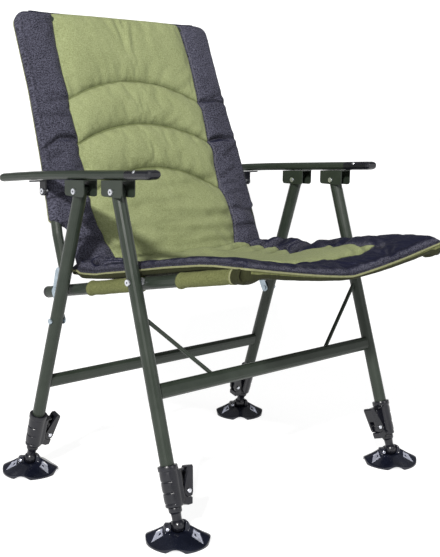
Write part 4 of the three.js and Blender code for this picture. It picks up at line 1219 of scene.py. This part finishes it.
def inside(x, y, poly):
    """How far inside a convex polygon (x, y) lies, negative outside."""
    best = 1e9
    for i in range(len(poly)):
        (ax, ay), (bx, by) = poly[i], poly[(i + 1) % len(poly)]
        nx, ny = ay - by, bx - ax
        best = min(best, ((x - ax) * nx + (y - ay) * ny) / math.hypot(nx, ny))
    return best


def polar(r, az):
    return (r * math.cos(math.radians(az)), r * math.sin(math.radians(az)))


# the sunk windows beside the tall ribs: one on each of the four lobes
WINDOWS = []
for turned in (lambda a: a, lambda a: 450 - a, lambda a: 270 - a, lambda a: a - 180):
    pts = [np.array(polar(r, turned(a))) for r, a in ((26.0, 142), (37.0, 144), (50.5, 164), (28.5, 170))]
    area = sum(pts[i][0] * pts[(i + 1) % 4][1] - pts[(i + 1) % 4][0] * pts[i][1] for i in range(4))
    WINDOWS.append(pts if area > 0 else pts[::-1])


def foot_shape():
    sides = 240
    hub = [0, 3, 6, 8, 9.6, 10.8, 12.0, 12.8, 13.0, 13.3, 13.9, 14.8, 16.4, 17.6, 18.4, 18.9, 19.4, 20.2]
    radii = hub + list(np.arange(21.2, 52.5, 0.95)) + [52.8, 53.3, 53.5]
    painted_glint, rows = [], []
    for r in radii:
        row = []
        for k in range(sides):
            az = 360.0 * k / sides
            off = abs((az - 225 + 180) % 360 - 180)
            wall = float(smooth(off, 60, 76))
            rr = r * (1 + 0.012 * math.cos(math.radians(4 * (az - 45))) * float(smooth(r, 35, 53)))
            z = foot_heights(max(r, 10.0), az)
            shine = 0.0
            if r < 13.1:
                dish = 27 - math.sqrt(max(0.0, 12.9**2 - min(r, 12.85) ** 2))
                z = dish * wall + min(dish, z) * (1 - wall) if r < 12.9 else (27.0 * wall + z * (1 - wall))
            elif r < 20.3:
                top = 32.0 - 2.4 * math.cos(math.radians(az - 135))
                edge = np.interp(r, [13.1, 13.3, 13.9, 14.8, 15.8, 17.0, 17.9, 18.6, 19.4, 20.3], [0.80, 0.93, 0.985, 1, 0.97, 0.8, 0.62, 0.42, 0.2, 0.0])
                lift = max(z, z + (top - z) * edge)
                z = z * (1 - wall) + lift * wall
            # a lug beside the socket, that carries a screw
            lug = float(smooth(az, 112, 120) * (1 - smooth(az, 164, 171)) * (1 - smooth(r, 22.6, 25.2)))
            if r > 13.2 and lug > 0:
                z += max(0.0, 30.2 - 0.12 * (r - 14) - z) * lug
            if 20.5 < r < 52:
                x, y = polar(rr, az)
                for window in WINDOWS:
                    d = inside(x, y, window)
                    if d > -0.2:
                        z -= 2.3 * float(smooth(d, -0.2, 0.9))
                        # painted highlight in the window, through the attribute that whitens the plastic
                        shine = max(shine, float(smooth(d, 0.5, 1.2)))
                        # a web left standing in the middle
                        c = 0.42 * np.mean(window, axis=0) + 0.29 * (window[0] + window[-1])
                        w = inside(x, y, [c + 0.27 * (np.array(p) - c) for p in window])
                        if w > -0.4:
                            z += 1.5 * float(smooth(w, -0.4, 0.5))
                            shine *= 1 - float(smooth(w, -0.3, 0.3))
            if r > 52.6:
                z = max(z - (0.5 if r < 53.4 else 1.6), foot_arch(az) + 1.8)
            row.append((rr, az, z))
            painted_glint.append(shine)
        rows.append(row)
    # the rim's lower edge and the underside
    under = [53.5, 53.2, 50.4, 50.0] + list(np.arange(48.5, 12, -2.0)) + [11, 8, 5, 0]
    for r in under:
        row = []
        for k in range(sides):
            az = 360.0 * k / sides
            rr = r * (1 + 0.012 * math.cos(math.radians(4 * (az - 45))) * float(smooth(r, 35, 53)))
            if r > 53.4:
                z = foot_arch(az) + 0.5
            elif r > 50.2:
                z = foot_arch(az)
            else:
                off = abs((az - 225 + 180) % 360 - 180)
                z = min(foot_heights(max(r, 10.0), az) - 3.4, 14.5 if r < 23 else 99)
                z = max(z, foot_arch(az) * 0.6) if r > 40 else z
                z = min(z, 9.8 + r * 0.35) if r < 14 else z
            row.append((rr, az, max(z, 0.0)))
            painted_glint.append(0.0)
        rows.append(row)
    points = np.array([p for row in rows for p in row])
    return points, grid_faces(len(rows), sides, wrap=True), painted_glint


FOOT_SHAPE = foot_shape()


def build_foot(key, leg, turn):
    points, faces, painted_glint = FOOT_SHAPE
    a = np.radians(points[:, 1] + turn)
    verts = np.stack([leg.ball[0] + points[:, 0] * np.cos(a), leg.ball[1] + SHIFT + points[:, 0] * np.sin(a), points[:, 2]], axis=-1) * MM
    obj = new_object("mud_foot_look_" + key, verts, faces, [MAT["foot_plastic"]], attrs={"painted_glint": painted_glint})
    bm = bmesh.new()
    bm.from_mesh(obj.data)
    bmesh.ops.remove_doubles(bm, verts=bm.verts, dist=1e-6)
    bmesh.ops.recalc_face_normals(bm, faces=bm.faces)
    bm.to_mesh(obj.data)
    bm.free()
    sharpen(obj, 44)
    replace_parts(obj, "mud_foot_" + key)
    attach(obj, "mud_foot_" + key)
    x, y = polar(21.0, 174 + turn)
    face = polar(1.0, 222 + turn)
    dome("foot_screw_" + key, leg.ball * (1, 1, 0) + (x, y, 24.6), (*face, 0.35), 2.9, 1.0, "mud_foot_" + key, 0.55, "foot_polish")
    # a dark dome on the screw, as painted shade in its hole
    dome("foot_screw_hole_shade_" + key, leg.ball * (1, 1, 0) + (x + face[0] * 1.1, y + face[1] * 1.1, 25.0), (*face, 0.35), 1.1, 0.35, "mud_foot_" + key, 0.55, "foot_plastic")


def dome(name, centre, axis, radius, height, body, flat=0.0, slot="rivet_steel"):
    """A rivet's domed head, standing out along axis (mm)."""
    axis = np.asarray(axis, float) / np.linalg.norm(axis)
    side = np.cross(axis, [0.3, 0.2, 0.93])
    side /= np.linalg.norm(side)
    third = np.cross(axis, side)
    profile = [(0, -0.6), (radius * 0.96, -0.6), (radius, 0.0)]
    for i in range(1, 10):
        a = math.pi / 2 * i / 9
        profile.append((radius * (flat + (1 - flat) * math.cos(a)) if i < 9 else max(radius * flat, 0.001), 0.15 + height * math.sin(a)))
    profile.append((0, 0.15 + height))
    verts, faces = turned_body(profile, 28)
    verts = np.array(verts)
    p = np.asarray(centre, float) + verts[:, :1] * side + verts[:, 1:2] * third + verts[:, 2:] * axis
    p[:, 1] += SHIFT
    obj = new_object(name, p * MM, faces, [MAT[slot]])
    sharpen(obj, 50)
    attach(obj, body)
    return obj


for key, leg in LEGS.items():
    build_clamp(key, leg)
    build_inner_leg(key, leg)
    build_foot(key, leg, {"front_r": 0.0, "front_l": 7.0, "rear_r": -7.0, "rear_l": 3.0}[key])
    for sign in (-1, 1):
        at = leg.ball + np.array([29.0, sign * 10.4, 51.0]) @ leg.axes
        dome(f"lever_rivet_{key}_{'a' if sign < 0 else 'b'}", at, sign * leg.axes[1], 4.1, 1.5, "front_frame" if "front" in key else "rear_frame", 0.35)


# black discs on the tubular rivets, as painted shade in their bores, and a bright rivet on top of each armrest cover
for tag, side in (("r", -1), ("l", 1)):
    for part, y, z, x, body in (
        ("front_pivot", -51.5, 565.5, 301.3, "armrests"), ("rear_pivot", 54.0, 559.5, 301.3, "armrests"),
        ("back_pivot", 190.7, 549.5, 274.4, "armrests"), ("seat_bolt", -97.2, 418.0, 301.4, "seat"),
    ):
        dome(f"{part}_bore_shade_{tag}", (side * x, y, z), (side, 0, 0), 1.6, 0.25, body, 0.5, "black_plastic")
    # both stand on the shoulder turned towards -X, as on the chair in the picture
    dome("cover_rivet_" + tag, (side * 283.6 - 12.3, -108.0, 602.4), (-0.78, 0, 0.62), 3.1, 1.3, "armrests", 0.3)


# ------------------------------------------------------------------- stage
floor = new_object(
    "floor",
    [(-6, -6, 0), (6, -6, 0), (6, 6, 0), (-6, 6, 0)],
    [(0, 1, 2, 3)],
    [],
    smooth_faces=False,
)
n = Nodes("floor")
n.bsdf.inputs["Base Color"].default_value = (0.86, 0.86, 0.86, 1)
n.bsdf.inputs["Roughness"].default_value = 0.9
n.bsdf.inputs["Specular IOR Level"].default_value = 0.1
dust = n.noise(n.object_coords(), 3, 2.0)
n.put(n.bsdf.inputs["Base Color"], n.mix(n.ramp(dust, 0.3, 0.7), (0.36, 0.36, 0.36, 1), (0.34, 0.34, 0.342, 1)))
# a lit table, so that the chair stands on white with only a soft shadow
n.bsdf.inputs["Emission Color"].default_value = (1, 1, 1, 1)
n.bsdf.inputs["Emission Strength"].default_value = 0.86
floor.data.materials.append(n.material)


def area_light(name, at, aim, size, power, color=(1, 1, 1)):
    light = bpy.data.lights.new(name, "AREA")
    light.shape = "RECTANGLE"
    light.size, light.size_y = size
    light.energy = power
    light.color = color
    obj = bpy.data.objects.new(name, light)
    scene.collection.objects.link(obj)
    obj.location = at
    obj.rotation_euler = (Vector(aim) - Vector(at)).to_track_quat("-Z", "Y").to_euler()
    return obj


area_light("sun", (-6.0, -3.95, 5.1), (0, 0, 0.45), (0.62, 0.62), 1100, (1, 0.985, 0.96))
area_light("front", (0.6, -3.0, 1.7), (0, 0, 0.45), (1.6, 1.2), 18)
area_light("top", (0.4, 0.3, 2.9), (0, 0, 0.4), (2.6, 2.6), 8)

# the surroundings: white at eye level all round, grey above, with a tall white backdrop on one side
world = bpy.data.worlds.new("world")
scene.world = world
world.use_nodes = True
tree = world.node_tree
background = tree.nodes["Background"]


def world_node(kind, **props):
    node = tree.nodes.new("ShaderNode" + kind)
    for k, v in props.items():
        setattr(node, k, v)
    return node


def fade(value, start, end, at_start, at_end):
    node = world_node("MapRange", interpolation_type="SMOOTHSTEP")
    tree.links.new(value, node.inputs["Value"])
    for key, v in (("From Min", start), ("From Max", end), ("To Min", at_start), ("To Max", at_end)):
        node.inputs[key].default_value = v
    return node.outputs[0]


direction = world_node("TexCoord").outputs["Generated"]
split = world_node("SeparateXYZ")
tree.links.new(direction, split.inputs[0])
toward = world_node("VectorMath", operation="DOT_PRODUCT")
tree.links.new(direction, toward.inputs[0])
toward.inputs[1].default_value = (0.67, 0.74, 0.0)
backdrop = world_node("Math", operation="MULTIPLY")
tree.links.new(fade(toward.outputs["Value"], 0.45, 0.80, 0.0, 1.0), backdrop.inputs[0])
tree.links.new(fade(split.outputs[2], 0.22, 0.50, 1.0, 0.0), backdrop.inputs[1])
level = world_node("Math", operation="MULTIPLY_ADD")
tree.links.new(backdrop.outputs[0], level.inputs[0])
level.inputs[1].default_value = 0.34
tree.links.new(fade(split.outputs[2], 0.14, 0.34, 0.98, 0.20), level.inputs[2])
background.inputs[0].default_value = (1, 1, 1, 1)
tree.links.new(level.outputs[0], background.inputs[1])
scene.view_settings.view_transform = "Standard"
scene.view_settings.look = "None"
scene.view_settings.exposure = 0.0
